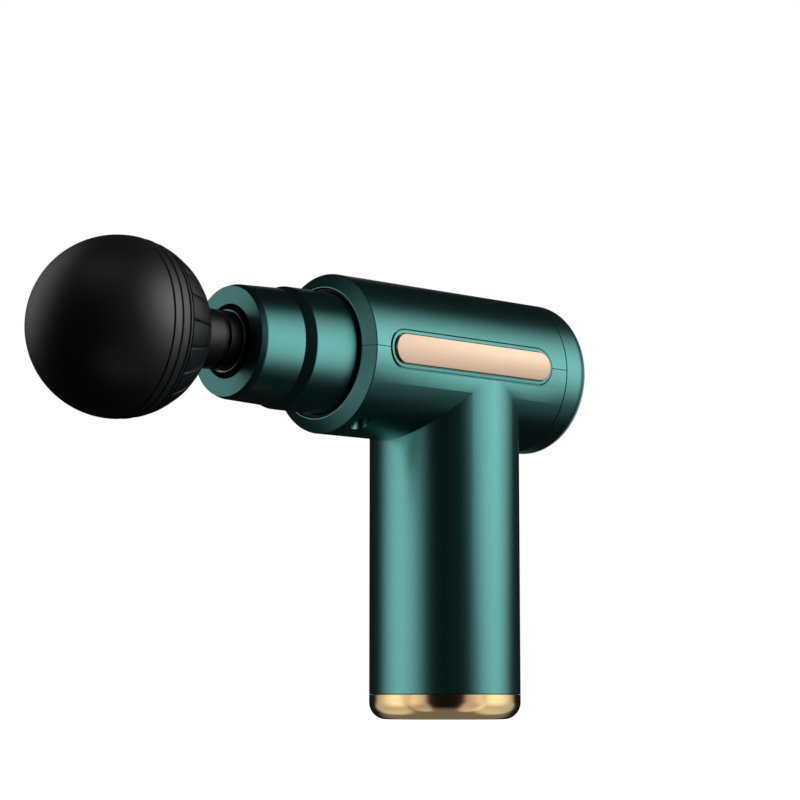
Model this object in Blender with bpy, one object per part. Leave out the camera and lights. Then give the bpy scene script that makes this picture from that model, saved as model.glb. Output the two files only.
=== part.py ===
"""Handheld percussion massage gun, about 206 x 54 x 142 mm, standing on its base.

Frame: metres, +Z up. The origin is the centre of the flat base, Z is the axis of the round
handle, and the barrel lies along X with the massage ball towards -X and the power button
at +X. A motor in the top of the handle turns a crank pin in a slotted yoke, which drives
the piston and the removable massage head along the barrel's axis.
"""

import math

import bmesh
import bpy
from mathutils import Matrix, Vector

MM = 0.001
GAP = 0.3 * MM                 # clearance between touching pieces

# Driving dimensions
BARREL_Z = 115.2 * MM          # height of the barrel's axis
BARREL_R = 25.5 * MM
HANDLE_R = 25.0 * MM
SHELL_WALL = 2.2 * MM
RIM_X = -54.5 * MM             # front of the barrel's chamfered rim
RIM_CHAMFER = 2.5 * MM
RIM_BORE_R = 20.8 * MM
RIM_LIP = 0.3 * MM             # flat ring left between the rim's bore and its chamfer
REAR_SEAM_X = 32.1 * MM        # joint line between the barrel and the rear cap
REAR_X = 46.5 * MM             # rear end of the cap
BASE_CAP_H = 8.0 * MM
BASE_ROUND = 4.0 * MM
NOSE_X = -90.9 * MM            # front face of the nose
NOSE_BORE_R = 11.4 * MM
NOSE_SEAM_X = -75.3 * MM
BALL_X = -131.5 * MM
BALL_R = 27.2 * MM
BALL_WALL = 2.0 * MM
NECK_R = 9.25 * MM
STEM_R = 5.5 * MM
PISTON_X = -92.0 * MM          # front face of the piston, where the head seats
PISTON_R = 9.9 * MM
ROD_R = 5.0 * MM
CRANK_X = 4.0 * MM             # motor and crank axis, parallel to Z
CRANK_R = 3.5 * MM             # half of the stroke
PIN_R = 2.0 * MM
ROLLER_R = 4.0 * MM
CRANK_TOP = BARREL_Z - 6.6 * MM
PLATE_LENGTH = 68.2 * MM       # gold plate on each side
PLATE_HEIGHT = 9.4 * MM
PLATE_X = -10.6 * MM
BEZEL_MARGIN = 1.5 * MM
SCREW_X = -46.2 * MM           # screws that join the barrel's halves
SCREW_Y = 11.0 * MM
PORT_Z = 19.1 * MM             # height of the charging port on the handle's back
CELL_R = 9.1 * MM
CELL_LENGTH = 65.0 * MM
CELL_X = 4.0 * MM
CELL_Y = 9.4 * MM
CELL_Z = 13.8 * MM
RIB_COUNT = 20
BASE_SCREW_COUNT = 3
BASE_SCREW_R = 15.0 * MM

SCREW_DROP = 17.5 * MM         # from the barrel's axis down to the screw heads' seats
CAP_RECESS = 2.4 * MM          # depth of the rear cap's recess, which holds the controls
CAP_RECESS_R = 12.9 * MM
SPIGOT_R = 22.4 * MM           # base cap's spigot, inside the handle
SPIGOT_TOP = BASE_CAP_H + 2.4 * MM
FLANGE_R = 22.9 * MM           # nose flange and rear spigot, inside the barrel

INNER_R = BARREL_R - SHELL_WALL
HANDLE_INNER_R = HANDLE_R - SHELL_WALL
FRONT, BACK = -80 * MM, 60 * MM          # ends of the tools that pass along the whole barrel
FINE, MEDIUM, SMALL, TINY = 48, 32, 20, 12   # segments round large to tiny pieces

BARREL_AXIS = Matrix.Translation((0, 0, BARREL_Z)) @ Matrix.Rotation(math.pi / 2, 4, "Y")
HANDLE_AXIS = Matrix.Identity(4)

FINISHES = {
    "green_paint": ("10554B", 0.28, 0.85),
    "gold_plate": ("E3B98F", 0.16, 1.0),
    "black_rubber": ("101011", 0.62, 0.0),
    "black_plastic": ("141415", 0.45, 0.0),
    "gloss_black": ("08090A", 0.12, 0.0),
    "steel": ("A7A9AB", 0.30, 1.0),
    "dark_steel": ("2B2C2E", 0.38, 1.0),
    "aluminium": ("B9BCC0", 0.34, 1.0),
    "bronze": ("8F6A3C", 0.40, 1.0),
    "copper": ("B8653A", 0.35, 1.0),
    "cell_wrap": ("2F6FA8", 0.40, 0.0),
    "circuit_board": ("1D5B35", 0.50, 0.0),
    "milky_lens": ("E9ECEF", 0.30, 0.0),
    "grey_rubber": ("2A2B2D", 0.75, 0.0),
}


def linear(channel):
    """One sRGB channel, 0 to 1, as a linear value."""
    if channel <= 0.04045:
        return channel / 12.92
    return ((channel + 0.055) / 1.055) ** 2.4


def finish(name):
    """The material called name, made from its row in FINISHES the first time."""
    if name in bpy.data.materials:
        return bpy.data.materials[name]
    colour, roughness, metallic = FINISHES[name]
    rgb = [linear(int(colour[i:i + 2], 16) / 255) for i in (0, 2, 4)]
    material = bpy.data.materials.new(name)
    material.use_nodes = True
    shader = material.node_tree.nodes["Principled BSDF"]
    shader.inputs["Base Color"].default_value = (*rgb, 1)
    shader.inputs["Roughness"].default_value = roughness
    shader.inputs["Metallic"].default_value = metallic
    return material


def clear_scene():
    for old in list(bpy.data.objects):
        bpy.data.objects.remove(old, do_unlink=True)


def make_object(name, bm, material=None):
    """An object holding bm, smooth with sharp edges kept, in the scene's collection."""
    bmesh.ops.remove_doubles(bm, verts=bm.verts, dist=0.001 * MM)
    bmesh.ops.recalc_face_normals(bm, faces=bm.faces)
    mesh = bpy.data.meshes.new(name)
    bm.to_mesh(mesh)
    bm.free()
    mesh.shade_smooth()
    mesh.set_sharp_from_angle(angle=math.radians(30))
    made = bpy.data.objects.new(name, mesh)
    bpy.context.scene.collection.objects.link(made)
    if material:
        mesh.materials.append(finish(material))
    return made


def turned(name, profile, material=None, axis=BARREL_AXIS, segments=MEDIUM):
    """A turned piece: a closed outline of (place along the axis, radius) points, spun about it."""
    bm = bmesh.new()
    points = [bm.verts.new((radius, 0, along)) for along, radius in profile]
    edges = [bm.edges.new((a, b)) for a, b in zip(points, points[1:] + points[:1])]
    on_axis = [e for e in edges if all(abs(v.co.x) < 1e-9 for v in e.verts)]
    swept = [e for e in edges if e not in on_axis]
    bmesh.ops.spin(bm, geom=points + swept, cent=(0, 0, 0), axis=(0, 0, 1),
                   angle=2 * math.pi, steps=segments, use_merge=True)
    for edge in on_axis:
        if edge.is_valid:
            bm.edges.remove(edge)
    bmesh.ops.transform(bm, matrix=axis, verts=bm.verts)
    return make_object(name, bm, material)


def ring(name, start, end, inner, outer, material=None, axis=BARREL_AXIS, segments=MEDIUM):
    """A plain ring, or a disc when inner is 0."""
    outline = [(start, inner), (start, outer), (end, outer), (end, inner)]
    return turned(name, outline, material, axis, segments)


def upright(x, y):
    """The frame of a vertical axis through x, y."""
    return Matrix.Translation((x, y, 0))


def block(name, low, high, material=None, bevel=0.0):
    """A box between two corners, with its edges bevelled."""
    low, high = Vector(low), Vector(high)
    bm = bmesh.new()
    bmesh.ops.create_cube(bm, size=1)
    size = high - low
    bmesh.ops.scale(bm, vec=size, verts=bm.verts)
    bmesh.ops.translate(bm, vec=(low + high) / 2, verts=bm.verts)
    if bevel:
        bmesh.ops.bevel(bm, geom=bm.edges[:], offset=bevel, segments=2, profile=0.5,
                        affect="EDGES", material=-1)
    return make_object(name, bm, material)


def stadium(name, centre, length, height, depth, direction, material=None):
    """A round-ended bar: length and height across it, depth along direction, "X" or "Y"."""
    bm = bmesh.new()
    radius = height / 2
    straight = length / 2 - radius
    outline = []
    for side in (1, -1):
        for step in range(13):
            angle = math.pi * step / 12 - math.pi / 2
            across = side * (straight + radius * math.cos(angle))
            outline.append((across, side * radius * math.sin(angle)))
    face = bm.faces.new([bm.verts.new((a, -depth / 2, b)) for a, b in outline])
    grown = bmesh.ops.extrude_face_region(bm, geom=[face])
    moved = [v for v in grown["geom"] if isinstance(v, bmesh.types.BMVert)]
    bmesh.ops.translate(bm, vec=(0, depth, 0), verts=moved)
    if direction == "X":
        turn = Matrix.Rotation(math.pi / 2, 4, "Z")
        bmesh.ops.transform(bm, matrix=turn, verts=bm.verts)
    bmesh.ops.translate(bm, vec=centre, verts=bm.verts)
    return make_object(name, bm, material)


def combine(target, tool, operation):
    """Applies a Boolean of tool to target, then removes tool."""
    modifier = target.modifiers.new(operation, "BOOLEAN")
    modifier.operation = operation
    modifier.solver = "EXACT"
    modifier.object = tool
    depsgraph = bpy.context.evaluated_depsgraph_get()
    result = bpy.data.meshes.new_from_object(target.evaluated_get(depsgraph))
    target.modifiers.clear()
    bm = bmesh.new()
    bm.from_mesh(result)
    bmesh.ops.remove_doubles(bm, verts=bm.verts, dist=0.001 * MM)
    bm.to_mesh(result)
    bm.free()
    old = target.data
    target.data = result
    result.name = target.name
    bpy.data.meshes.remove(old)
    bpy.data.objects.remove(tool, do_unlink=True)
    return target


def cut(target, *tools):
    for tool in tools:
        combine(target, tool, "DIFFERENCE")
    return target


def join(target, *tools):
    for tool in tools:
        combine(target, tool, "UNION")
    return target


def arc(centre_along, centre_radius, along, radius, start, end, steps):
    """Points on an ellipse from start to end degrees, 0 pointing outwards."""
    points = []
    for step in range(steps + 1):
        angle = math.radians(start + (end - start) * step / steps)
        points.append((centre_along + along * math.sin(angle),
                       centre_radius + radius * math.cos(angle)))
    return points


# Barrel, handle and covers

def barrel_shell(name):
    """The barrel's wall between its chamfered rim and the rear seam, as a full tube."""
    lip_end = RIM_X + 3.7 * MM
    outline = [(RIM_X, RIM_BORE_R), (RIM_X, RIM_BORE_R + RIM_LIP),
               (RIM_X + RIM_CHAMFER, BARREL_R), (REAR_SEAM_X, BARREL_R),
               (REAR_SEAM_X, INNER_R), (lip_end, INNER_R), (lip_end, RIM_BORE_R)]
    return turned(name, outline, "green_paint", segments=FINE)


def handle_tube():
    """The handle's wall, with its top end shaped to finish inside the barrel's wall."""
    tube = ring("handle", BASE_CAP_H + GAP, BARREL_Z - 4 * MM, HANDLE_INNER_R, HANDLE_R,
                axis=HANDLE_AXIS, segments=FINE)
    saddle = ring("saddle", FRONT, BACK, 0, INNER_R + 0.4 * MM, segments=FINE)
    return cut(tube, saddle)


def bezel_pocket(shell):
    """Cuts the pocket on both sides that each bezel lies in."""
    for side in (-1, 1):
        centre = (PLATE_X, side * BARREL_R, BARREL_Z)
        pocket = stadium("pocket", centre, PLATE_LENGTH + 2 * BEZEL_MARGIN + 2 * GAP,
                         PLATE_HEIGHT + 2 * BEZEL_MARGIN + 2 * GAP, 12 * MM, "Y")
        core = ring("core", FRONT, BACK, 0, BARREL_R - 1.2 * MM, segments=FINE)
        cut(pocket, core)
        cut(shell, pocket)


def screw_post(y, low, high, radius):
    """A post for a housing screw, trimmed to stay inside the barrel's wall."""
    post = ring("post", low, high, 0, radius, axis=upright(SCREW_X, y), segments=SMALL)
    limit = ring("limit", FRONT, BACK, 0, BARREL_R - 0.6 * MM, segments=FINE)
    return combine(post, limit, "INTERSECT")


def lower_housing():
    """The barrel's lower half and the handle tube, moulded in one piece."""
    shell = barrel_shell("lower_housing")
    upper = block("upper", (FRONT, -40 * MM, BARREL_Z - GAP / 2),
                  (BACK, 40 * MM, BARREL_Z + 60 * MM))
    throat = ring("throat", 60 * MM, BARREL_Z - 5 * MM, 0, HANDLE_INNER_R + 0.7 * MM,
                  axis=HANDLE_AXIS, segments=FINE)
    cut(shell, upper, throat)
    join(shell, handle_tube())
    for side in (-1, 1):
        y = side * SCREW_Y
        foot = screw_post(y, BARREL_Z - 26 * MM, BARREL_Z - 15 * MM, 4.2 * MM)
        post = screw_post(y, BARREL_Z - 20 * MM, BARREL_Z - GAP / 2, 2.7 * MM)
        join(shell, foot, post)
        axis = upright(SCREW_X, y)
        recess = ring("recess", BARREL_Z - 30 * MM, BARREL_Z - SCREW_DROP, 0, 3.2 * MM,
                      axis=axis, segments=SMALL)
        hole = ring("hole", BARREL_Z - 20 * MM, BARREL_Z + 5 * MM, 0, 1.5 * MM, axis=axis,
                    segments=TINY)
        cut(shell, recess, hole)
    bezel_pocket(shell)
    port = stadium("port", (22 * MM, 0, PORT_Z), 14.0 * MM, 8.5 * MM, 12 * MM, "X")
    cut(shell, port)
    return shell


def upper_housing():
    """The barrel's upper half."""
    shell = barrel_shell("upper_housing")
    lower = block("lower", (FRONT, -40 * MM, BARREL_Z - 60 * MM),
                  (BACK, 40 * MM, BARREL_Z + GAP / 2))
    cut(shell, lower)
    for side in (-1, 1):
        y = side * SCREW_Y
        join(shell, screw_post(y, BARREL_Z + GAP / 2, BARREL_Z + 26 * MM, 2.7 * MM))
        hole = ring("hole", BARREL_Z - 5 * MM, BARREL_Z + 10 * MM, 0, 1.5 * MM,
                    axis=upright(SCREW_X, y), segments=TINY)
        cut(shell, hole)
    bezel_pocket(shell)
    return shell


def rear_cap():
    """The domed cap that closes the barrel and carries the controls."""
    face_r = 13.5 * MM
    depth = 8.0 * MM
    front = REAR_SEAM_X + GAP
    floor = REAR_X - CAP_RECESS
    back = floor - 2.0 * MM
    spigot = front - 4.0 * MM
    bore = FLANGE_R - 2.0 * MM
    hole = 3.0 * MM
    outline = [(front, BARREL_R)]
    outline += arc(REAR_X - depth, face_r, depth, BARREL_R - face_r, 0, 90, 6)
    outline += [(REAR_X, CAP_RECESS_R), (floor, CAP_RECESS_R), (floor, hole), (back, hole),
                (back, 14.0 * MM), (REAR_X - depth, bore), (spigot, bore),
                (spigot, FLANGE_R), (front, FLANGE_R)]
    turned("rear_cap", outline, "green_paint", segments=FINE)


def nose():
    """The stepped nose: a sleeve held behind the barrel's rim and a screwed-on front cap."""
    seam = NOSE_SEAM_X
    spigot = seam - 3.7 * MM
    spigot_r = 15.5 * MM
    seam_r = 18.4 * MM
    bore = 16.8 * MM
    collar = seam + 2.3 * MM
    collar_bore = 13.6 * MM
    flange = RIM_X + 4.0 * MM
    flange_end = flange + 2.0 * MM
    sleeve = turned("nose_sleeve", [
        (spigot, collar_bore), (spigot, spigot_r), (seam + GAP / 2, spigot_r),
        (seam + GAP / 2, seam_r), (seam + 3.5 * MM, 19.3 * MM), (flange, 19.5 * MM),
        (flange, FLANGE_R), (flange_end, FLANGE_R), (flange_end, bore), (collar, bore),
        (collar, collar_bore)], "green_paint", segments=FINE)
    for side in (-1, 1):
        notch = ring("notch", BARREL_Z - 30 * MM, BARREL_Z + 30 * MM, 0, 4.7 * MM,
                     axis=upright(SCREW_X, side * SCREW_Y), segments=SMALL)
        cut(sleeve, notch)
    face_end = NOSE_X + 2.6 * MM
    step = NOSE_X + 4.9 * MM
    step_r = 13.3 * MM
    cap_bore = spigot_r + GAP
    turned("nose_cap", [
        (NOSE_X, NOSE_BORE_R), (NOSE_X, 17.1 * MM), (NOSE_X + 2.0 * MM, 17.8 * MM),
        (seam - GAP / 2, seam_r), (seam - GAP / 2, cap_bore), (step, cap_bore),
        (step, step_r), (face_end, step_r), (face_end, NOSE_BORE_R)],
        "green_paint", segments=FINE)


def side_trims():
    """On each side a green bezel in the housing's pocket and a gold plate in the bezel."""
    for side, word in ((-1, "left"), (1, "right")):
        centre = (PLATE_X, side * BARREL_R, BARREL_Z)
        bezel = stadium("side_bezel_" + word, centre, PLATE_LENGTH + 2 * BEZEL_MARGIN,
                        PLATE_HEIGHT + 2 * BEZEL_MARGIN, 12 * MM, "Y", "green_paint")
        combine(bezel, tube_between("skin", BARREL_R - 0.9 * MM, BARREL_R + 0.4 * MM),
                "INTERSECT")
        seat = stadium("seat", centre, PLATE_LENGTH + 2 * GAP, PLATE_HEIGHT + 2 * GAP,
                       12 * MM, "Y")
        combine(seat, tube_between("skin", BARREL_R - 0.3 * MM, BARREL_R + 3 * MM),
                "INTERSECT")
        cut(bezel, seat)
        plate = stadium("side_plate_" + word, centre, PLATE_LENGTH, PLATE_HEIGHT, 12 * MM,
                        "Y", "gold_plate")
        combine(plate, tube_between("skin", BARREL_R, BARREL_R + 1.1 * MM), "INTERSECT")


def tube_between(name, inner, outer):
    """A long tube about the barrel's axis, used to bend flat outlines to its curve."""
    return ring(name, FRONT, BACK, inner, outer, segments=FINE)


def screw(name, axis, seat, head_r, head_h, shank_r, length, material="dark_steel"):
    """A pan-head screw pointing up its axis from a head whose upper side is at seat."""
    turned(name, [(seat - head_h, 0), (seat - head_h, head_r * 0.8),
                  (seat - head_h * 0.6, head_r), (seat, head_r), (seat, shank_r),
                  (seat + length, shank_r), (seat + length, 0)], material, axis, TINY)


def housing_screws():
    for number, side in ((1, -1), (2, 1)):
        screw(f"housing_screw_{number}", upright(SCREW_X, side * SCREW_Y),
              BARREL_Z - SCREW_DROP - GAP, 2.8 * MM, 1.8 * MM, 1.2 * MM, 26 * MM)


def base():
    """The gold base cap, its screws and the plate inside that they hold on to."""
    floor = 2.6 * MM
    bore = SPIGOT_R - 2.0 * MM
    head_z = 1.4 * MM
    cap = turned("base_cap", [
        (0, 0), (0, HANDLE_R - BASE_ROUND),
        *arc(BASE_ROUND, HANDLE_R - BASE_ROUND, BASE_ROUND, BASE_ROUND, -90, 0, 4)[1:],
        (BASE_CAP_H, HANDLE_R), (BASE_CAP_H, SPIGOT_R), (SPIGOT_TOP, SPIGOT_R),
        (SPIGOT_TOP, bore), (floor, bore), (floor, 0)], "gold_plate", HANDLE_AXIS, FINE)
    chassis_z = SPIGOT_TOP + 0.4 * MM
    plate = ring("base_chassis", chassis_z, chassis_z + 2.4 * MM, 0, 22.3 * MM,
                 "black_plastic", HANDLE_AXIS)
    for number in range(BASE_SCREW_COUNT):
        angle = math.radians(60 + 120 * number)
        axis = upright(BASE_SCREW_R * math.cos(angle), BASE_SCREW_R * math.sin(angle))
        cut(cap, ring("head_hole", -1 * MM, head_z, 0, 2.6 * MM, axis=axis, segments=TINY),
            ring("hole", 1 * MM, 4 * MM, 0, 1.4 * MM, axis=axis, segments=TINY))
        join(plate, ring("boss", 3.0 * MM, 11.5 * MM, 0, 3.0 * MM, axis=axis, segments=TINY))
        cut(plate, ring("pilot", 1 * MM, 10.5 * MM, 0, 1.4 * MM, axis=axis, segments=TINY))
        screw(f"base_screw_{number + 1}", axis, head_z - GAP, 2.3 * MM, 0.9 * MM,
              1.1 * MM, 8.5 * MM, "gold_plate")


# Controls, battery and electronics

def controls():
    """The button, its light ring and black panel on the rear cap, and the board behind."""
    floor = REAR_X - CAP_RECESS
    ring("control_panel", floor + GAP, REAR_X - 0.2 * MM, 8.9 * MM, 12.6 * MM, "gloss_black")
    ring("light_ring", floor + GAP, REAR_X - 0.1 * MM, 7.3 * MM, 8.6 * MM, "milky_lens")
    turned("power_button", [
        (floor - 2.5 * MM, 0), (floor - 2.5 * MM, 2.0 * MM), (floor + 1.1 * MM, 2.0 * MM),
        (floor + 1.1 * MM, 6.9 * MM), (REAR_X + 0.1 * MM, 6.9 * MM),
        (REAR_X + 0.5 * MM, 6.3 * MM), (REAR_X + 0.2 * MM, 0)], "gloss_black")
    ring("control_board", REAR_X - 11.2 * MM, REAR_X - 9.6 * MM, 0, 19.8 * MM,
         "circuit_board")
    switch = block("button_switch", (REAR_X - 9.3 * MM, -3 * MM, BARREL_Z - 3 * MM),
                   (REAR_X - 6.5 * MM, 3 * MM, BARREL_Z + 3 * MM), "gloss_black")
    join(switch, ring("plunger", REAR_X - 7.5 * MM, REAR_X - 5.9 * MM, 0, 1.6 * MM,
                      segments=SMALL))


def battery():
    """Two cells side by side in the handle, under the plate that holds them down."""
    for number, side in ((1, -1), (2, 1)):
        axis = upright(CELL_X, side * CELL_Y)
        top = CELL_Z + CELL_LENGTH
        turned(f"battery_cell_{number}", [
            (CELL_Z, 0), (CELL_Z, CELL_R - 0.6 * MM), (CELL_Z + 0.6 * MM, CELL_R),
            (top - 1.6 * MM, CELL_R), (top - 1.0 * MM, CELL_R - 0.6 * MM),
            (top - 1.0 * MM, 3.0 * MM), (top, 3.0 * MM), (top, 0)], "cell_wrap", axis)
    top = CELL_Z + CELL_LENGTH + GAP
    block("battery_retainer", (CELL_X - 7 * MM, -18 * MM, top),
          (CELL_X + 7 * MM, 18 * MM, top + 1.6 * MM), "black_plastic", 0.4 * MM)


def electronics():
    """The main board in front of the cells, and the charging socket in its frame."""
    block("main_board", (-11.4 * MM, -16 * MM, 16 * MM), (-9.8 * MM, 16 * MM, 76 * MM),
          "circuit_board")
    block("motor_driver", (-9.5 * MM, -5 * MM, 58 * MM), (-8.0 * MM, 5 * MM, 68 * MM),
          "gloss_black", 0.2 * MM)
    low = PORT_Z - 1.6 * MM
    socket = block("charge_socket", (12.0 * MM, -4.5 * MM, low),
                   (19.2 * MM, 4.5 * MM, low + 3.2 * MM), "steel", 0.8 * MM)
    cut(socket, stadium("slot", (18 * MM, 0, PORT_Z), 8.2 * MM, 2.4 * MM, 8 * MM, "X"))
    block("charge_board", (13.4 * MM, -6.5 * MM, low - GAP - 1.2 * MM),
          (19.2 * MM, 6.5 * MM, low - GAP), "circuit_board")
    frame = stadium("charge_port_frame", (23.5 * MM, 0, PORT_Z), 13.4 * MM, 7.9 * MM,
                    7.8 * MM, "X", "black_plastic")
    limit = ring("limit", 0, 40 * MM, 0, HANDLE_R + 0.1 * MM, axis=HANDLE_AXIS,
                 segments=FINE)
    combine(frame, limit, "INTERSECT")
    cut(frame, stadium("mouth", (23.5 * MM, 0, PORT_Z), 10.4 * MM, 5.0 * MM, 12 * MM, "X"))


# Motor, crank and piston

def motor():
    """A flat outrunner motor: the stator stands on its mount, the bell and magnets turn."""
    axis = upright(CRANK_X, 0)
    mount_z = 81.8 * MM
    mount = ring("motor_mount", mount_z, mount_z + 3.0 * MM, 0, 22.4 * MM, "aluminium",
                 HANDLE_AXIS)
    cut(mount, ring("hole", 70 * MM, 95 * MM, 0, 3.2 * MM, axis=axis, segments=SMALL))
    foot = mount_z + 3.0 * MM + GAP
    stator = ring("stator_core", foot, foot + 13.0 * MM, 6.3 * MM, 13.6 * MM, "copper",
                  axis, 36)
    for slot in range(9):
        turn = Matrix.Rotation(math.radians(40 * slot), 4, "Z")
        gap = block("slot", (8.6 * MM, -1.1 * MM, foot + 2 * MM),
                    (15 * MM, 1.1 * MM, foot + 16 * MM))
        gap.data.transform(axis @ turn)
        cut(stator, gap)
    ring("shaft_bearing_lower", foot + 0.3 * MM, foot + 3.3 * MM, 2.8 * MM, 6.0 * MM,
         "steel", axis, SMALL)
    ring("shaft_bearing_upper", foot + 9.7 * MM, foot + 12.7 * MM, 2.8 * MM, 6.0 * MM,
         "steel", axis, SMALL)
    ring("magnet_ring", foot + 0.8 * MM, foot + 13.0 * MM, 14.0 * MM, 15.5 * MM,
         "dark_steel", axis)
    bell_z = foot + 0.8 * MM
    turned("rotor_bell", [
        (bell_z, 15.8 * MM), (bell_z, 17.0 * MM), (bell_z + 14.6 * MM, 17.0 * MM),
        (bell_z + 15.6 * MM, 16.0 * MM), (bell_z + 15.6 * MM, 2.8 * MM),
        (bell_z + 13.8 * MM, 2.8 * MM), (bell_z + 13.8 * MM, 15.8 * MM)],
        "dark_steel", axis)
    ring("motor_shaft", mount_z + 1.0 * MM, CRANK_TOP - 3.3 * MM, 0, 2.5 * MM, "steel",
         axis, SMALL)


def crank():
    """The crank disc with its counterweight, the crank pin and the roller on it."""
    axis = upright(CRANK_X, 0)
    pin_axis = upright(CRANK_X, CRANK_R)
    low = CRANK_TOP - 5.8 * MM
    disc = ring("crank_disc", low, CRANK_TOP, 0, 11.0 * MM, "steel", axis)
    weight = ring("weight", low + 0.4 * MM, CRANK_TOP - 0.4 * MM, 0, 15.0 * MM, axis=axis)
    half = block("half", (-30 * MM, -1.0 * MM, 60 * MM), (40 * MM, 30 * MM, 130 * MM))
    cut(weight, half)
    join(disc, weight)
    cut(disc, ring("bore", low - 1 * MM, CRANK_TOP - 3.0 * MM, 0, 2.8 * MM, axis=axis,
                   segments=SMALL),
        ring("pin_hole", CRANK_TOP - 2.0 * MM, CRANK_TOP + 1 * MM, 0, PIN_R + GAP,
             axis=pin_axis, segments=SMALL))
    ring("crank_pin", CRANK_TOP - 1.7 * MM, BARREL_Z + 4.2 * MM, 0, PIN_R, "steel",
         pin_axis, SMALL)
    ring("crank_roller", BARREL_Z - 3.6 * MM, BARREL_Z + 3.6 * MM, PIN_R + GAP, ROLLER_R,
         "bronze", pin_axis, SMALL)


def piston():
    """The yoke that the crank's roller pushes, its rod, and the piston with its socket."""
    linear_error = 0.2105 * CRANK_R    # the crank pin's sine path against a straight ratio
    slot_x = ROLLER_R + linear_error + GAP
    slot_y = CRANK_R + ROLLER_R + 0.5 * MM
    outer_x = slot_x + 3.4 * MM
    outer_y = slot_y + 3.4 * MM
    yoke = block("yoke", (CRANK_X - outer_x, -outer_y, BARREL_Z - 4 * MM),
                 (CRANK_X + outer_x, outer_y, BARREL_Z + 4 * MM), "aluminium", 0.8 * MM)
    cut(yoke, block("slot", (CRANK_X - slot_x, -slot_y, BARREL_Z - 8 * MM),
                    (CRANK_X + slot_x, slot_y, BARREL_Z + 8 * MM)))
    ring("piston_rod", PISTON_X + 30.3 * MM, CRANK_X - outer_x - GAP, 0, ROD_R, "aluminium")
    socket_end = PISTON_X + 30.0 * MM
    bore = STEM_R + 0.5 * MM
    turned("piston", [
        (PISTON_X + 1.5 * MM, bore), (PISTON_X + 1.5 * MM, PISTON_R),
        (socket_end - 1 * MM, PISTON_R), (socket_end, PISTON_R - 1 * MM), (socket_end, 0),
        (PISTON_X + 20 * MM, 0), (PISTON_X + 20 * MM, bore)], "black_plastic")
    turned("piston_ring", [
        (PISTON_X, bore), (PISTON_X, PISTON_R - 0.5 * MM), (PISTON_X + 0.5 * MM, PISTON_R),
        (PISTON_X + 1.2 * MM, PISTON_R), (PISTON_X + 1.2 * MM, bore)], "steel")


def guides():
    """The tube and bushes that the piston slides in, and the rubber that holds them."""
    tube_start = NOSE_X + 5.2 * MM
    ring("guide_tube", tube_start, -51.5 * MM, 11.2 * MM, 13.0 * MM, "black_plastic")
    ring("guide_bush_front", tube_start + 0.5 * MM, tube_start + 9 * MM, PISTON_R + GAP,
         10.9 * MM, "black_plastic")
    ring("guide_bush_rear", -57.5 * MM, -51.5 * MM, ROD_R + GAP, 10.9 * MM, "black_plastic")
    ring("damper_front", tube_start + 0.2 * MM, tube_start + 5.5 * MM, 13.3 * MM, 15.5 * MM,
         "grey_rubber")
    ring("damper_rear", -57.5 * MM, -52.0 * MM, 13.3 * MM, 16.5 * MM, "grey_rubber")
    ring("wiper_seal", NOSE_X + 2.9 * MM, NOSE_X + 4.9 * MM, PISTON_R + GAP, 13.0 * MM,
         "black_rubber")


# Massage head

def ball_cover():
    """The soft hollow ball, with three narrow grooves round it near its open back."""
    end = 8.5 * MM
    groove_depth = 0.6 * MM
    groove_half = 0.3 * MM
    outline = [(-BALL_R, 0)]
    stops = [-BALL_R * math.cos(math.radians(10 * step)) for step in range(1, 9)]
    for along in stops:
        outline.append((along, sphere_r(BALL_R, along)))
    for along in (0.9 * MM, 4.0 * MM, 7.3 * MM):
        radius = sphere_r(BALL_R, along)
        outline += [(along - groove_half, radius), (along, radius - groove_depth),
                    (along + groove_half, radius)]
    outline.append((end, sphere_r(BALL_R, end)))
    inner = BALL_R - BALL_WALL
    outline.append((end, sphere_r(inner, end)))
    for step in range(6, 0, -1):
        along = -inner * math.cos(math.radians(15 * step))
        outline.append((along, sphere_r(inner, along)))
    outline.append((-inner, 0))
    outline = [(BALL_X + along, radius) for along, radius in outline]
    turned("ball_cover", outline, "black_rubber", segments=40)


def sphere_r(radius, along):
    """The radius of a sphere's slice at a distance along its axis."""
    return math.sqrt(max(radius * radius - along * along, 0))


def head_cup():
    """The ribbed back of the head, which the ball's open end is bonded to."""
    back = [(8.8, 25.74), (11.0, 24.88), (14.5, 23.0), (18.0, 20.4), (21.5, 17.2),
            (24.3, 13.4), (25.8, 10.2), (25.8, 1.7), (24.2, 1.7), (24.2, 9.4),
            (19.6, 16.6), (12.0, 21.6), (4.0, 21.6), (4.0, 22.7), (8.8, 22.7)]
    outline = [(BALL_X + along * MM, radius * MM) for along, radius in back]
    cup = turned("head_cup", outline, "black_plastic", segments=RIB_COUNT * 2)
    centre = Vector((0, 0, BARREL_Z))
    for vert in cup.data.vertices:
        spoke = Vector((0, vert.co.y, vert.co.z)) - centre
        along = vert.co.x - BALL_X
        grooved = 10 * MM < along < 24 * MM and spoke.length > 0.95 * outer_r(back, along)
        turn = round(math.degrees(math.atan2(spoke.z, spoke.y)) / (180 / RIB_COUNT))
        if grooved and turn % 2 == 0:
            shift = spoke.normalized() * -0.6 * MM
            vert.co += shift


def outer_r(outline, along):
    """The largest radius of an outline's points, in millimetres, that lie at one place."""
    near = [radius for place, radius in outline if abs(place * MM - along) < 0.1 * MM]
    return max(near, default=0) * MM


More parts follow.
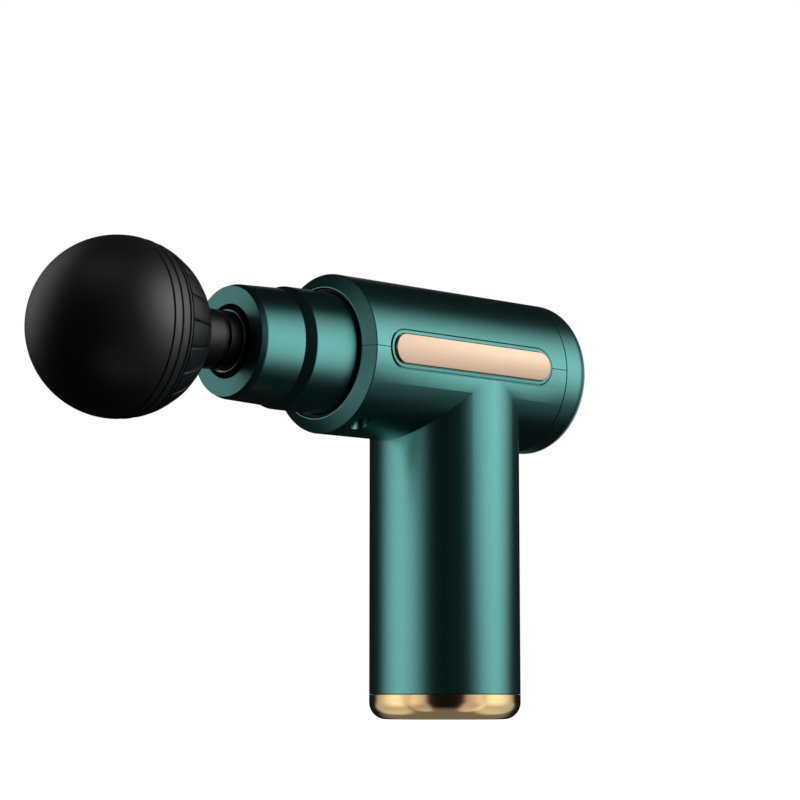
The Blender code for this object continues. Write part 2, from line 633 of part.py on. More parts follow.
def head_stem():
    """The neck and plug of the head, its screw and the two O-rings that grip the socket."""
    neck_start = BALL_X + 26.1 * MM
    shoulder = PISTON_X - GAP
    plug_end = PISTON_X + 18 * MM
    groove_r = 4.5 * MM
    outline = [(neck_start, 1.6 * MM), (neck_start, NECK_R), (-97.8 * MM, NECK_R),
               (-97.5 * MM, 8.5 * MM), (-96.7 * MM, 8.5 * MM), (-96.4 * MM, NECK_R),
               (shoulder, NECK_R), (shoulder, STEM_R)]
    for number, start in ((1, PISTON_X + 4 * MM), (2, PISTON_X + 12 * MM)):
        outline += [(start, STEM_R), (start, groove_r), (start + 1.6 * MM, groove_r),
                    (start + 1.6 * MM, STEM_R)]
        bead = arc(start + 0.8 * MM, 5.25 * MM, 0.45 * MM, 0.45 * MM, 0, 300, 5)
        turned(f"stem_o_ring_{number}", bead, "black_rubber", segments=SMALL)
    outline += [(plug_end - 1 * MM, STEM_R), (plug_end, STEM_R - 1 * MM), (plug_end, 0),
                (neck_start + 9 * MM, 0), (neck_start + 9 * MM, 1.6 * MM)]
    turned("head_stem", outline, "black_plastic")
    seat = BALL_X + 24.2 * MM - GAP
    screw("stem_screw", BARREL_AXIS, seat, 3.0 * MM, 2.0 * MM, 1.3 * MM, 10 * MM)


def main():
    clear_scene()
    lower_housing()
    upper_housing()
    rear_cap()
    nose()
    side_trims()
    housing_screws()
    base()
    controls()
    battery()
    electronics()
    motor()
    crank()
    piston()
    guides()
    ball_cover()
    head_cup()
    head_stem()


main()
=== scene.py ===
"""Massage gun: its visible pieces, their finishes and the studio, built round the packed CAD model.

Metres, +Z up. The handle stands on its base at the origin, the barrel lies along X at the
height BARREL_Z, the massage ball is at -X and the power button at +X. Run it as a script.
"""

import math

import bmesh
import bpy
from bpy.props import FloatProperty, FloatVectorProperty, IntProperty, PointerProperty
from mathutils import Matrix, Vector


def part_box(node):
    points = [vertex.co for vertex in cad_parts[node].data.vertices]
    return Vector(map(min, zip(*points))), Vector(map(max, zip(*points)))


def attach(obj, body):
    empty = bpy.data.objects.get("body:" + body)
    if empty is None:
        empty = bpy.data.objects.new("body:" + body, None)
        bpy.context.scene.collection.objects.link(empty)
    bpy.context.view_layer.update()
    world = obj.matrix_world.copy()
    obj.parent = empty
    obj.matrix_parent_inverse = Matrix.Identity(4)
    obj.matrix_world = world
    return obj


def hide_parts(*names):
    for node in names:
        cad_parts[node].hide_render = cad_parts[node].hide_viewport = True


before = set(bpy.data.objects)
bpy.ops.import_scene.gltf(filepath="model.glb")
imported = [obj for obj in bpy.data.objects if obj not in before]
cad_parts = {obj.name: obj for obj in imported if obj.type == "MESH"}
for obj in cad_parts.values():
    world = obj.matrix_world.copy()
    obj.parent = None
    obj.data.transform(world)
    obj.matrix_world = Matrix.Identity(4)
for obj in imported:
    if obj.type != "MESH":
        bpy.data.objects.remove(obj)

bl_info = {
    "name": "Massage Gun",
    "version": (1, 0, 0),
    "blender": (4, 5, 0),
    "location": "3D View > Sidebar > Massage Gun",
    "description": "Builds a handheld massage gun's visible pieces, finishes and studio",
    "category": "Object",
}

MM = 0.001
X, Y, Z = range(3)


def start(node, axis):
    """The lowest place of a CAD node along an axis."""
    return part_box(node)[0][axis]


def end(node, axis):
    """The highest place of a CAD node along an axis."""
    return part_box(node)[1][axis]


def middle(node, axis):
    return (start(node, axis) + end(node, axis)) / 2


def half(node, axis):
    return (end(node, axis) - start(node, axis)) / 2


# Places and sizes that the CAD model sets
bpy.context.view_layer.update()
BARREL_Z = middle("nose_cap", Z)
BARREL_R = half("rear_cap", Z)
RIM_X = start("upper_housing", X)
REAR_SEAM_X = end("upper_housing", X)
REAR_X = end("rear_cap", X)
NOSE_X = start("nose_cap", X)
NOSE_SEAM_X = end("nose_cap", X)
HANDLE_R = half("base_cap", X) - 0.3 * MM
BASE_SPIGOT_Z = end("base_cap", Z)
BASE_SEAM_Z = BASE_SPIGOT_Z - 2.4 * MM
BALL_R = half("ball_cover", Z)
BALL_X = start("ball_cover", X) + BALL_R
NECK_R = half("head_stem", Z)
PISTON_X = start("piston_ring", X)
PISTON_R = half("piston_ring", Z)
PLATE_X = middle("side_plate_left", X)
PLATE_LENGTH = 2 * half("side_plate_left", X)
PLATE_R = -start("side_plate_left", Y)
SCREW_X = middle("housing_screw_1", X)
SCREW_Y = middle("housing_screw_2", Y)
SCREW_SEAT_Z = end("housing_screw_1", Z) - 26 * MM
PORT_Z = middle("charge_port_frame", Z)

# Sizes that several pieces share
FLANGE_R = 22.9 * MM    # the nose's flange and the rear cap's spigot, inside the barrel
SPIGOT_WALL = 2.0 * MM  # of the rear cap's and the base cap's spigots
NOSE_LEDGE = 2.6 * MM   # from the nose's face to the ledge that holds the wiper seal
NOSE_LEDGE_R = 13.3 * MM

GAP = 0.3 * MM          # clearance between pieces that touch
WELD = 0.0005 * MM      # points closer than this are one point
SHARP = math.radians(32)
FINE, MEDIUM, SMALL, TINY = 256, 128, 64, 48     # steps round large to tiny pieces
ROUND_STEPS = 4         # flats across a rounded edge

BARREL = Matrix.Translation((0, 0, BARREL_Z)) @ Matrix.Rotation(math.pi / 2, 4, "Y")
HANDLE = Matrix.Identity(4)


def linear(text):
    """An sRGB hex colour as linear red, green and blue."""
    channels = [int(text[i:i + 2], 16) / 255 for i in (0, 2, 4)]
    return tuple(c / 12.92 if c <= 0.04045 else ((c + 0.055) / 1.055) ** 2.4 for c in channels)


def length(name, description, default):
    return FloatProperty(name=name, description=description, default=default, min=0.0,
                         precision=5, unit="LENGTH", subtype="DISTANCE")


def tint(name, description, text):
    return FloatVectorProperty(name=name, description=description, default=linear(text),
                               size=3, min=0.0, max=1.0, subtype="COLOR")


def turn(name, description, degrees):
    return FloatProperty(name=name, description=description, default=math.radians(degrees),
                         unit="ROTATION", subtype="ANGLE")


class MassageGunHousing(bpy.types.PropertyGroup):
    """Sizes of the barrel, the handle, the nose and their trims."""

    wall: length("Wall", "Thickness of the moulded shells", 2.2 * MM)
    rim_bore: length("Rim bore", "Radius of the hole in the barrel's front rim", 20.8 * MM)
    rim_chamfer: length("Rim chamfer", "Depth of the slope round the front rim", 2.5 * MM)
    seam: length("Seam", "Width of the joint line between the barrel's halves", 0.16 * MM)
    edge: length("Edge", "Rounding of the shells' outer edges", 0.25 * MM)
    plate_height: length("Plate height", "Height of the gold side plates", 9.4 * MM)
    bezel_margin: length("Bezel margin", "Width of the bezel round a side plate", 1.5 * MM)
    base_round: length("Base rounding", "Rounding under the base cap", 5.5 * MM)


class MassageGunHead(bpy.types.PropertyGroup):
    """Sizes of the removable massage head."""

    wall: length("Ball wall", "Thickness of the soft ball's skin", 2.0 * MM)
    groove: length("Groove", "Depth of the three narrow grooves round the ball", 0.6 * MM)
    ribs: IntProperty(name="Ribs", description="Panels round the ribbed back of the head",
                      default=20, min=3)
    rib_depth: length("Rib depth", "Depth of the grooves between the panels", 0.55 * MM)


class MassageGunColours(bpy.types.PropertyGroup):
    """The colours that a maker would change."""

    lacquer: tint("Lacquer", "The metallic green of the housing", "6DB9B3")
    plates: tint("Side plates", "The champagne of the side plates", "D5B79B")
    base: tint("Base cap", "The plated gold of the base cap", "E9CB93")
    rubber: tint("Ball", "The black of the soft ball", "29292A")
    plastic: tint("Plastic", "The black of the head's moulded parts", "161617")


class MassageGunStudio(bpy.types.PropertyGroup):
    """The camera and the soft boxes beside it."""

    orbit: turn("Orbit", "How far the camera stands round from the gun's left side", 43.1)
    heading: turn("Heading", "Direction in which the camera looks", 42.0)
    pitch: turn("Pitch", "How far the camera looks up", 7.4)
    distance: length("Distance", "From the handle's axis to the camera", 0.7617)
    height: length("Height", "Of the camera above the floor", 6.0 * MM)
    lens: FloatProperty(name="Lens", description="Focal length in millimetres", default=104.2,
                        min=1.0, subtype="DISTANCE_CAMERA")
    right_light: FloatProperty(name="Right light", default=1.17, min=0.0,
                               description="Brightness of the soft box at the right")
    left_light: FloatProperty(name="Left light", default=1.0, min=0.0,
                              description="Brightness of the soft box at the left")


# Finishes

def add(tree, kind, inputs=(), **settings):
    """Adds a node with its settings. inputs gives each socket a value or an output."""
    node = tree.nodes.new("ShaderNode" + kind)
    for setting, value in settings.items():
        setattr(node, setting, value)
    for socket, value in dict(inputs).items():
        if isinstance(value, bpy.types.NodeSocket):
            tree.links.new(value, node.inputs[socket])
        else:
            node.inputs[socket].default_value = value
    return node


def new_finish(name, **constants):
    """A material with constants on its shader's sockets, its tree and its pattern's place."""
    material = bpy.data.materials.new(name)
    material.use_nodes = True
    tree = material.node_tree
    for socket, value in constants.items():
        tree.nodes["Principled BSDF"].inputs[socket.replace("_", " ")].default_value = value
    return material, tree, add(tree, "TexCoord").outputs["Object"]


def finished(material, tone, dark, light, sheen=None, low=0.0, high=1.0, height=None,
             depth=0.0):
    """Links patterns, each from 0 to 1, to a material's shader, and returns the material.

    tone takes the colour from dark to light, both linear, sheen takes the roughness from low
    to high, and height raises the surface by depth.
    """
    tree = material.node_tree
    sockets = tree.nodes["Principled BSDF"].inputs
    mix = add(tree, "Mix", {"Factor": tone}, data_type="RGBA")
    first, second = (s for s in mix.inputs if s.type == "RGBA")
    first.default_value, second.default_value = (*dark, 1), (*light, 1)
    tree.links.new(next(s for s in mix.outputs if s.type == "RGBA"), sockets["Base Color"])
    if sheen:
        rough = add(tree, "MapRange", {"Value": sheen, "To Min": low, "To Max": high})
        tree.links.new(rough.outputs["Result"], sockets["Roughness"])
    if height:
        bump = add(tree, "Bump", {"Height": height, "Distance": depth})
        tree.links.new(bump.outputs["Normal"], sockets["Normal"])
    return material


def lumps(place, size, detail=2.0):
    """A noise texture's inputs, for lumps of about size across."""
    return {"Vector": place, "Scale": 1 / size, "Detail": detail}


def scaled(colour, factor):
    """A colour made darker or lighter."""
    return tuple(min(c * factor, 1.0) for c in colour)


def metallic_lacquer(colour):
    """Metallic lacquer sprayed on ABS: a satin sheen with fine flake under faint orange peel."""
    material, tree, place = new_finish("metallic_lacquer", Metallic=0.97, Coat_Weight=0.4,
                                       Coat_Roughness=0.22)
    # Real flake is about 0.05 mm across. It is drawn at 0.3 mm so that it shows at all.
    flake = add(tree, "TexVoronoi", {"Vector": place, "Scale": 1 / (0.3 * MM)})
    tone = add(tree, "RGBToBW", {"Color": flake.outputs["Color"]}).outputs["Val"]
    sheen = add(tree, "TexNoise", lumps(place, 6 * MM)).outputs["Fac"]
    peel = add(tree, "TexNoise", lumps(place, 1.6 * MM)).outputs["Fac"]
    return finished(material, tone, scaled(colour, 0.93), scaled(colour, 1.05),
                    sheen, 0.27, 0.31, peel, 0.006 * MM)


def champagne_anodising(colour):
    """Bead-blasted, champagne-anodised aluminium: a bright, even satin with a fine grain."""
    material, tree, place = new_finish("champagne_anodising", Metallic=1.0, Coat_Weight=0.8,
                                       Coat_Roughness=0.25)
    # Blasting leaves pits of about 0.1 mm, drawn here at 0.35 mm.
    pits = add(tree, "TexNoise", lumps(place, 0.35 * MM, 3.0)).outputs["Fac"]
    sheen = add(tree, "TexNoise", lumps(place, 5 * MM)).outputs["Fac"]
    return finished(material, pits, scaled(colour, 0.96), colour, sheen, 0.27, 0.31,
                    pits, 0.004 * MM)


def gold_plating(colour):
    """Electroplated, polished gold on ABS: sharp reflections with slight hazing."""
    material, tree, place = new_finish("gold_plating", Metallic=1.0)
    haze = add(tree, "TexNoise", lumps(place, 9 * MM, 4.0)).outputs["Fac"]
    waves = add(tree, "TexNoise", lumps(place, 3 * MM)).outputs["Fac"]
    return finished(material, haze, scaled(colour, 0.94), colour, haze, 0.14, 0.19,
                    waves, 0.004 * MM)


def soft_silicone(colour):
    """Silicone skin moulded on foam: a matt black with a broad, soft sheen and fine pores."""
    material, tree, place = new_finish("soft_silicone", IOR=1.55, Specular_IOR_Level=1.0)
    # The mould's pores are about 0.2 mm apart, drawn here at 0.5 mm.
    pores = add(tree, "TexNoise", lumps(place, 0.5 * MM, 3.0)).outputs["Fac"]
    tone = add(tree, "TexNoise", lumps(place, 7 * MM, 3.0)).outputs["Fac"]
    return finished(material, tone, scaled(colour, 0.85), colour, pores, 0.40, 0.47,
                    pores, 0.01 * MM)


def moulded_plastic(name, colour, low=0.38, high=0.46):
    """Injection-moulded ABS: an even satin with the mould's fine spark texture."""
    material, tree, place = new_finish(name, IOR=1.54, Specular_IOR_Level=0.65)
    spark = add(tree, "TexNoise", lumps(place, 0.7 * MM, 3.0)).outputs["Fac"]
    tone = add(tree, "TexNoise", lumps(place, 8 * MM)).outputs["Fac"]
    return finished(material, tone, scaled(colour, 0.85), colour, spark, low, high,
                    spark, 0.012 * MM)


def gloss_acrylic():
    """Polished black acrylic: deep black under a clear, sharp gloss, with faint hazing."""
    material, tree, place = new_finish("gloss_acrylic", IOR=1.49, Coat_Weight=0.6,
                                       Coat_Roughness=0.04)
    haze = add(tree, "TexNoise", lumps(place, 4 * MM, 4.0)).outputs["Fac"]
    return finished(material, haze, linear("050506"), linear("0B0C0D"), haze, 0.10, 0.16)


def frosted_lens():
    """Frosted polycarbonate over the lamps: milky white, slightly cloudy."""
    material, tree, place = new_finish("frosted_lens", IOR=1.58, Subsurface_Weight=0.25,
                                       Subsurface_Radius=(0.6 * MM,) * 3)
    cloud = add(tree, "TexNoise", lumps(place, 2 * MM, 3.0)).outputs["Fac"]
    return finished(material, cloud, linear("CDD2D6"), linear("EEF1F3"), cloud, 0.30, 0.38)


def machined_metal(name, dark, light, pitch, low, high):
    """A turned or drawn metal: fine lines left by the tool, in tone and in roughness."""
    material, tree, place = new_finish(name, Metallic=1.0)
    lines = add(tree, "TexWave", {"Vector": place, "Scale": 0.314 / pitch, "Distortion": 0.6,
                                  "Detail": 2.0}, wave_type="BANDS", bands_direction="X")
    marks = lines.outputs["Fac"]
    return finished(material, marks, linear(dark), linear(light), marks, low, high,
                    marks, 0.003 * MM)


def solder_mask():
    """Green solder mask on a circuit board: glossy, with the copper's tracks showing under."""
    material, tree, place = new_finish("solder_mask", IOR=1.52, Roughness=0.32)
    bricks = add(tree, "TexBrick", {"Vector": place, "Scale": 1 / (4 * MM),
                                    "Mortar Size": 0.06, "Mortar Smooth": 0.1})
    tracks = bricks.outputs["Fac"]
    return finished(material, tracks, linear("17502E"), linear("2C7A49"), height=tracks,
                    depth=0.03 * MM)


def shrink_wrap():
    """Heat-shrunk PVC on a battery cell: blue, glossy and slightly rippled."""
    material, tree, place = new_finish("shrink_wrap", IOR=1.53)
    ripple = add(tree, "TexNoise", lumps(place, 3 * MM, 3.0)).outputs["Fac"]
    return finished(material, ripple, linear("25598A"), linear("2F6FA8"), ripple, 0.28, 0.42,
                    ripple, 0.05 * MM)


def enamelled_copper():
    """Enamelled copper windings: a warm, glossy metal with the wires' rounds showing."""
    material, tree, place = new_finish("enamelled_copper", Metallic=0.9)
    wires = add(tree, "TexWave", {"Vector": place, "Scale": 0.314 / (0.5 * MM)},
                wave_type="BANDS", bands_direction="Z").outputs["Fac"]
    return finished(material, wires, linear("7A3A1B"), linear("C27246"), wires, 0.42, 0.28,
                    wires, 0.1 * MM)


def moulded_rubber(name, dark, light):
    """Moulded nitrile rubber: dull, with a fine dusty bloom."""
    material, tree, place = new_finish(name, IOR=1.52)
    bloom = add(tree, "TexNoise", lumps(place, 0.6 * MM, 4.0)).outputs["Fac"]
    return finished(material, bloom, linear(dark), linear(light), bloom, 0.60, 0.72,
                    bloom, 0.02 * MM)


def finish(name):
    """The finish called name, made the first time that a piece asks for it."""
    if name in bpy.data.materials:
        return bpy.data.materials[name]
    colours = bpy.context.scene.massage_gun_colours
    makers = {
        "metallic_lacquer": lambda: metallic_lacquer(colours.lacquer),
        "champagne_anodising": lambda: champagne_anodising(colours.plates),
        "gold_plating": lambda: gold_plating(colours.base),
        "soft_silicone": lambda: soft_silicone(colours.rubber),
        "moulded_abs": lambda: moulded_plastic("moulded_abs", colours.plastic),
        "moulded_nylon": lambda: moulded_plastic("moulded_nylon", linear("1C1C1E"), 0.46, 0.56),
        "gloss_acrylic": gloss_acrylic,
        "frosted_lens": frosted_lens,
        "turned_steel": lambda: machined_metal("turned_steel", "8F9295", "C4C7CA",
                                               0.4 * MM, 0.24, 0.34),
        "blackened_steel": lambda: machined_metal("blackened_steel", "1D1E20", "34363A",
                                                  0.5 * MM, 0.32, 0.42),
        "cast_aluminium": lambda: machined_metal("cast_aluminium", "A5A8AC", "C2C5C9",
                                                 0.6 * MM, 0.32, 0.44),
        "sintered_bronze": lambda: machined_metal("sintered_bronze", "7A5930", "A17A48",
                                                  0.4 * MM, 0.36, 0.46),
        "solder_mask": solder_mask,
        "shrink_wrap": shrink_wrap,
        "enamelled_copper": enamelled_copper,
        "nitrile_rubber": lambda: moulded_rubber("nitrile_rubber", "0C0C0D", "161617"),
        "grey_rubber": lambda: moulded_rubber("grey_rubber_pad", "242527", "333537"),
    }
    material = makers[name]()
    material.name = name
    return material


# Shapes

def turned(outline, axis=BARREL, steps=FINE):
    """A turned solid: an outline of (place along the axis, radius, rounding) corners, spun."""
    bm = bmesh.new()
    corners = [bm.verts.new((radius, 0, along)) for along, radius, _ in outline]
    for a, b in zip(corners, corners[1:] + corners[:1]):
        if a.co.x or b.co.x:
            bm.edges.new((a, b))
    for corner, (_, _, rounding) in zip(corners, outline):
        if rounding:
            bmesh.ops.bevel(bm, geom=[corner], offset=rounding, offset_type="OFFSET",
                            affect="VERTICES", segments=ROUND_STEPS, profile=0.5, material=-1)
    bmesh.ops.spin(bm, geom=bm.verts[:] + bm.edges[:], cent=(0, 0, 0), axis=(0, 0, 1),
                   angle=2 * math.pi, steps=steps, use_merge=True)
    bmesh.ops.transform(bm, matrix=axis, verts=bm.verts)
    return close(bm)


def close(bm):
    """Welds doubles and turns every face outwards."""
    bmesh.ops.remove_doubles(bm, verts=bm.verts, dist=WELD)
    bmesh.ops.recalc_face_normals(bm, faces=bm.faces)
    return bm


def ring(low, high, inner, outer, rounding=0.0, axis=BARREL, steps=MEDIUM):
    """A plain turned ring, or a disc when inner is 0."""
    return turned([(low, inner, rounding if inner else 0), (low, outer, rounding),
                   (high, outer, rounding), (high, inner, rounding if inner else 0)],
                  axis, steps)


def upright(x, y):
    """The frame of a vertical axis through x, y."""
    return Matrix.Translation((x, y, 0))


def block(low, high):
    """A box between two corners."""
    bm = bmesh.new()
    low, high = Vector(low), Vector(high)
    place = Matrix.Translation((low + high) / 2) @ Matrix.Diagonal((*(high - low), 1))
    bmesh.ops.create_cube(bm, size=1, matrix=place)
    return bm


def round_ended(length, height, low, high, rim=0.0, floor=0.0, rounding=0.0):
    """A round-ended bar along X, from y = low to high.

    With a rim it is hollowed down to floor, or right through where floor is low.
    """
    bm = bmesh.new()
    upright_disc = Matrix.Translation((0, low, 0)) @ Matrix.Rotation(math.pi / 2, 4, "X")
    half_step = Matrix.Rotation(math.pi / SMALL, 4, "Z")
    bmesh.ops.create_circle(bm, segments=SMALL, radius=height / 2, cap_ends=True,
                            matrix=upright_disc @ half_step)
    straight = (length - height) / 2
    for side in (1, -1):
        end_verts = [v for v in bm.verts if v.co.x * side > 0]
        bmesh.ops.translate(bm, verts=end_verts, vec=(side * straight, 0, 0))
    grown = bmesh.ops.extrude_face_region(bm, geom=bm.faces[:], use_keep_orig=True)["geom"]
    bmesh.ops.translate(bm, vec=(0, high - low, 0),
                        verts=[g for g in grown if isinstance(g, bmesh.types.BMVert)])
    if rim:
        hollow(bm, low, high, rim, floor)
    close(bm)
    if rounding:
        top = [e for e in bm.edges if all(abs(v.co.y - high) < WELD for v in e.verts)
               and e.calc_face_angle(0) > 1]
        bmesh.ops.bevel(bm, geom=top, offset=rounding, offset_type="OFFSET", affect="EDGES",
                        segments=ROUND_STEPS, profile=0.5, material=-1)
    return bm


def hollow(bm, low, high, rim, floor):
    """Insets a bar's top and sinks what is inside, or opens a hole right through it."""
    caps = {y: next(f for f in bm.faces if all(abs(v.co.y - y) < WELD for v in f.verts))
            for y in (low, high)}
    bmesh.ops.inset_region(bm, faces=[caps[high]], thickness=rim, use_even_offset=True)
    if floor > low:
        sunk = bmesh.ops.extrude_face_region(bm, geom=[caps[high]])["geom"]
        bmesh.ops.translate(bm, vec=(0, floor - high, 0),
                            verts=[g for g in sunk if isinstance(g, bmesh.types.BMVert)])
        if caps[high].is_valid:
            bm.faces.remove(caps[high])
        return
    bmesh.ops.inset_region(bm, faces=[caps[low]], thickness=rim, use_even_offset=True)
    edges = caps[low].edges[:] + caps[high].edges[:]
    for cap in caps.values():
        bm.faces.remove(cap)
    bmesh.ops.bridge_loops(bm, edges=edges)


def bend(bm, spread, radius, place):
    """Bends a flat piece round an axis: spread is its axis across, Y is its radius.

    place gives the new point from what stays straight, the radius and the angle.
    """
    step = 0.6 * MM
    reach = max(abs(v.co[spread]) for v in bm.verts)
    normal = Vector((0, 0, 0))
    normal[spread] = 1
    for number in range(-int(reach / step), int(reach / step) + 1):
        bmesh.ops.bisect_plane(bm, geom=bm.verts[:] + bm.edges[:] + bm.faces[:], dist=WELD,
                               plane_co=normal * number * step, plane_no=normal)
    for vert in bm.verts:
        vert.co = place(vert.co, vert.co.y, vert.co[spread] / radius)
    return close(bm)


def bend_on_barrel(bm, side):
    """Lays a bar on the barrel's side: -1 is the gun's left, 1 its right."""
    def place(point, radius, angle):
        return Vector((PLATE_X + point.x, side * radius * math.cos(angle),
                       BARREL_Z + radius * math.sin(angle)))
    return bend(bm, Z, BARREL_R, place)


def bend_on_handle(bm):
    """Lays a bar across the handle's back, at the charging port."""
    def place(point, radius, angle):
        return Vector((radius * math.cos(angle), radius * math.sin(angle), PORT_Z + point.z))
    return bend(bm, X, HANDLE_R, place)


def with_tool(bm, operation, *tools):
    """bm after a Boolean with each tool, which is used up."""
    objects = []
    for shape in (bm, *tools):
        mesh = bpy.data.meshes.new("shape")
        shape.to_mesh(mesh)
        shape.free()
        made = bpy.data.objects.new("shape", mesh)
        bpy.context.scene.collection.objects.link(made)
        objects.append(made)
    target = objects[0]
    for tool in objects[1:]:
        modifier = target.modifiers.new(operation, "BOOLEAN")
        modifier.operation, modifier.solver, modifier.object = operation, "EXACT", tool
    result = bmesh.new()
    result.from_object(target, bpy.context.evaluated_depsgraph_get())
    for made in objects:
        mesh = made.data
        bpy.data.objects.remove(made, do_unlink=True)
        bpy.data.meshes.remove(mesh)
    bmesh.ops.remove_doubles(result, verts=result.verts, dist=WELD)
    return result


def cut(bm, *tools):
    return with_tool(bm, "DIFFERENCE", *tools)


def join(bm, *tools):
    return with_tool(bm, "UNION", *tools)


def piece(name, bm, material, body, slot, *stands_for):
    """The object for a shape, smooth with crisp corners, riding on its body."""
    mesh = bpy.data.meshes.new(name)
    bm.to_mesh(mesh)
    bm.free()
    mesh.shade_smooth()
    mesh.set_sharp_from_angle(angle=SHARP)
    mesh.materials.append(finish(material))
    made = bpy.data.objects.new(name, mesh)
    bpy.context.scene.collection.objects.link(made)
    flats = made.modifiers.new("Flat faces stay flat", "WEIGHTED_NORMAL")
    flats.keep_sharp = True
    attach(made, body)
    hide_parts(*stands_for)
    return made


def painted(name, bm, node):
    """A lacquered piece of the housing, which stands for a node."""
    return piece(name, bm, "metallic_lacquer", "housing", "green_paint", node)


def arc(centre_along, centre_radius, along, radius, first, last, steps):
    """Corners on an ellipse from first to last degrees, 0 pointing outwards."""
    points = []
    for step in range(steps + 1):
        angle = math.radians(first + (last - first) * step / steps)
        points.append((centre_along + along * math.sin(angle),
                       centre_radius + radius * math.cos(angle), 0))
    return points


# Housing

def barrel_half(side):
    """Half of the barrel's wall, above the joint line for side 1 and below it for -1."""
    sizes = bpy.context.scene.massage_gun_housing
    inner = BARREL_R - sizes.wall
    lip_end = RIM_X + 3.7 * MM
    bm = turned([
        (RIM_X, sizes.rim_bore, 0.1 * MM), (RIM_X, sizes.rim_bore + 0.3 * MM, 0.12 * MM),
        (RIM_X + sizes.rim_chamfer, BARREL_R, sizes.edge), (REAR_SEAM_X, BARREL_R, 0.1 * MM),
        (REAR_SEAM_X, inner, 0), (lip_end, inner, 0), (lip_end, sizes.rim_bore, 0)])
    level = BARREL_Z + side * sizes.seam / 2
    bmesh.ops.bisect_plane(bm, geom=bm.verts[:] + bm.edges[:] + bm.faces[:], dist=WELD,
                           plane_co=(0, 0, level), plane_no=(0, 0, side), clear_inner=True)
    open_edges = [e for e in bm.edges if e.is_boundary]
    bmesh.ops.holes_fill(bm, edges=open_edges, sides=0)
    close(bm)
    outer = [e for e in bm.edges
             if all(abs(v.co.z - level) < WELD and abs(v.co.y) > inner + 0.5 * MM
                    for v in e.verts) and e.calc_face_angle(0) > 1]
    bmesh.ops.bevel(bm, geom=outer, offset=0.07 * MM, offset_type="OFFSET", affect="EDGES",
                    segments=2, profile=0.5, material=-1)
    return bm


def bezel_pockets():
    """The two cutters for the pockets that the bezels lie in."""
    sizes = bpy.context.scene.massage_gun_housing
    grow = 2 * (sizes.bezel_margin + GAP)
    return [bend_on_barrel(round_ended(PLATE_LENGTH + grow, sizes.plate_height + grow,
                                       BARREL_R - 1.2 * MM, BARREL_R + 4 * MM), side)
            for side in (-1, 1)]


def screw_posts(low, high, radius):
    """A post for each housing screw, trimmed inside the barrel's wall."""
    posts = []
    for side in (-1, 1):
        post = ring(low, high, 0, radius, axis=upright(SCREW_X, side * SCREW_Y), steps=TINY)
        limit = ring(-80 * MM, 60 * MM, 0, BARREL_R - 0.6 * MM)
        posts.append(with_tool(post, "INTERSECT", limit))
    return posts


def screw_holes(low, high, radius):
    """The two cutters for a hole along each housing screw."""
    return [ring(low, high, 0, radius, axis=upright(SCREW_X, side * SCREW_Y), steps=TINY)
            for side in (-1, 1)]


class MASSAGEGUN_OT_housing(bpy.types.Operator):
    """The barrel's two halves, the lower one moulded with the handle"""

    bl_idname = "massage_gun.housing"
    bl_label = "Housing"

    def execute(self, context):
        sizes = context.scene.massage_gun_housing
        seam = sizes.seam / 2
        foot = BASE_SEAM_Z + 0.05 * MM
        top = BARREL_Z - 4 * MM
        handle = turned([
            (foot, HANDLE_R - sizes.wall, 0), (foot, HANDLE_R, sizes.edge),
            (top, HANDLE_R, 0), (top, HANDLE_R - sizes.wall, 0)], HANDLE)
        saddle = ring(-60 * MM, 60 * MM, 0, BARREL_R - sizes.wall + 0.4 * MM, steps=FINE)
        throat = ring(BARREL_Z - 60 * MM, BARREL_Z - 5 * MM, 0, HANDLE_R - sizes.wall + 0.7 * MM,
                      axis=HANDLE)
        lower = join(cut(barrel_half(-1), throat), cut(handle, saddle))
        lower = join(lower, *screw_posts(BARREL_Z - 26 * MM, SCREW_SEAT_Z + 2.5 * MM, 4.2 * MM),
                     *screw_posts(SCREW_SEAT_Z - 2.5 * MM, BARREL_Z - seam, 2.7 * MM))
        port = round_ended(14.0 * MM, 8.5 * MM, 16 * MM, 28 * MM)
        lower = cut(lower, *screw_holes(BARREL_Z - 30 * MM, SCREW_SEAT_Z, 3.2 * MM),
                    *screw_holes(SCREW_SEAT_Z - 2 * MM, BARREL_Z + 5 * MM, 1.5 * MM),
                    *bezel_pockets(), bend_on_handle(port))
        painted("barrel_and_handle", lower, "lower_housing")
        upper = join(barrel_half(1),
                     *screw_posts(BARREL_Z + seam, BARREL_Z + 26 * MM, 2.7 * MM))
        upper = cut(upper, *screw_holes(BARREL_Z - 5 * MM, BARREL_Z + 10 * MM, 1.5 * MM),
                    *bezel_pockets())
        painted("barrel_top", upper, "upper_housing")
        return {"FINISHED"}


class MASSAGEGUN_OT_rear_cap(bpy.types.Operator):
    """The domed cap that closes the barrel round the controls"""

    bl_idname = "massage_gun.rear_cap"
    bl_label = "Rear Cap"

    def execute(self, context):
        face_r = 13.5 * MM
        depth = 8.0 * MM
        front = REAR_SEAM_X + GAP
        floor = REAR_X - 2.4 * MM
        recess_r = 12.9 * MM
        inner = FLANGE_R - SPIGOT_WALL
        outline = [(front, BARREL_R, 0.1 * MM)]
        outline += arc(REAR_X - depth, face_r, depth, BARREL_R - face_r, 0, 90, 28)
        outline += [(REAR_X, recess_r, 0.25 * MM), (floor, recess_r, 0.1 * MM),
                    (floor, 3.0 * MM, 0), (floor - 2 * MM, 3.0 * MM, 0),
                    (floor - 2 * MM, 14.0 * MM, 0), (REAR_X - depth, inner, 0),
                    (front - 4.0 * MM, inner, 0), (front - 4.0 * MM, FLANGE_R, 0),
                    (front, FLANGE_R, 0)]
        painted("rear_dome", turned(outline), "rear_cap")
        return {"FINISHED"}


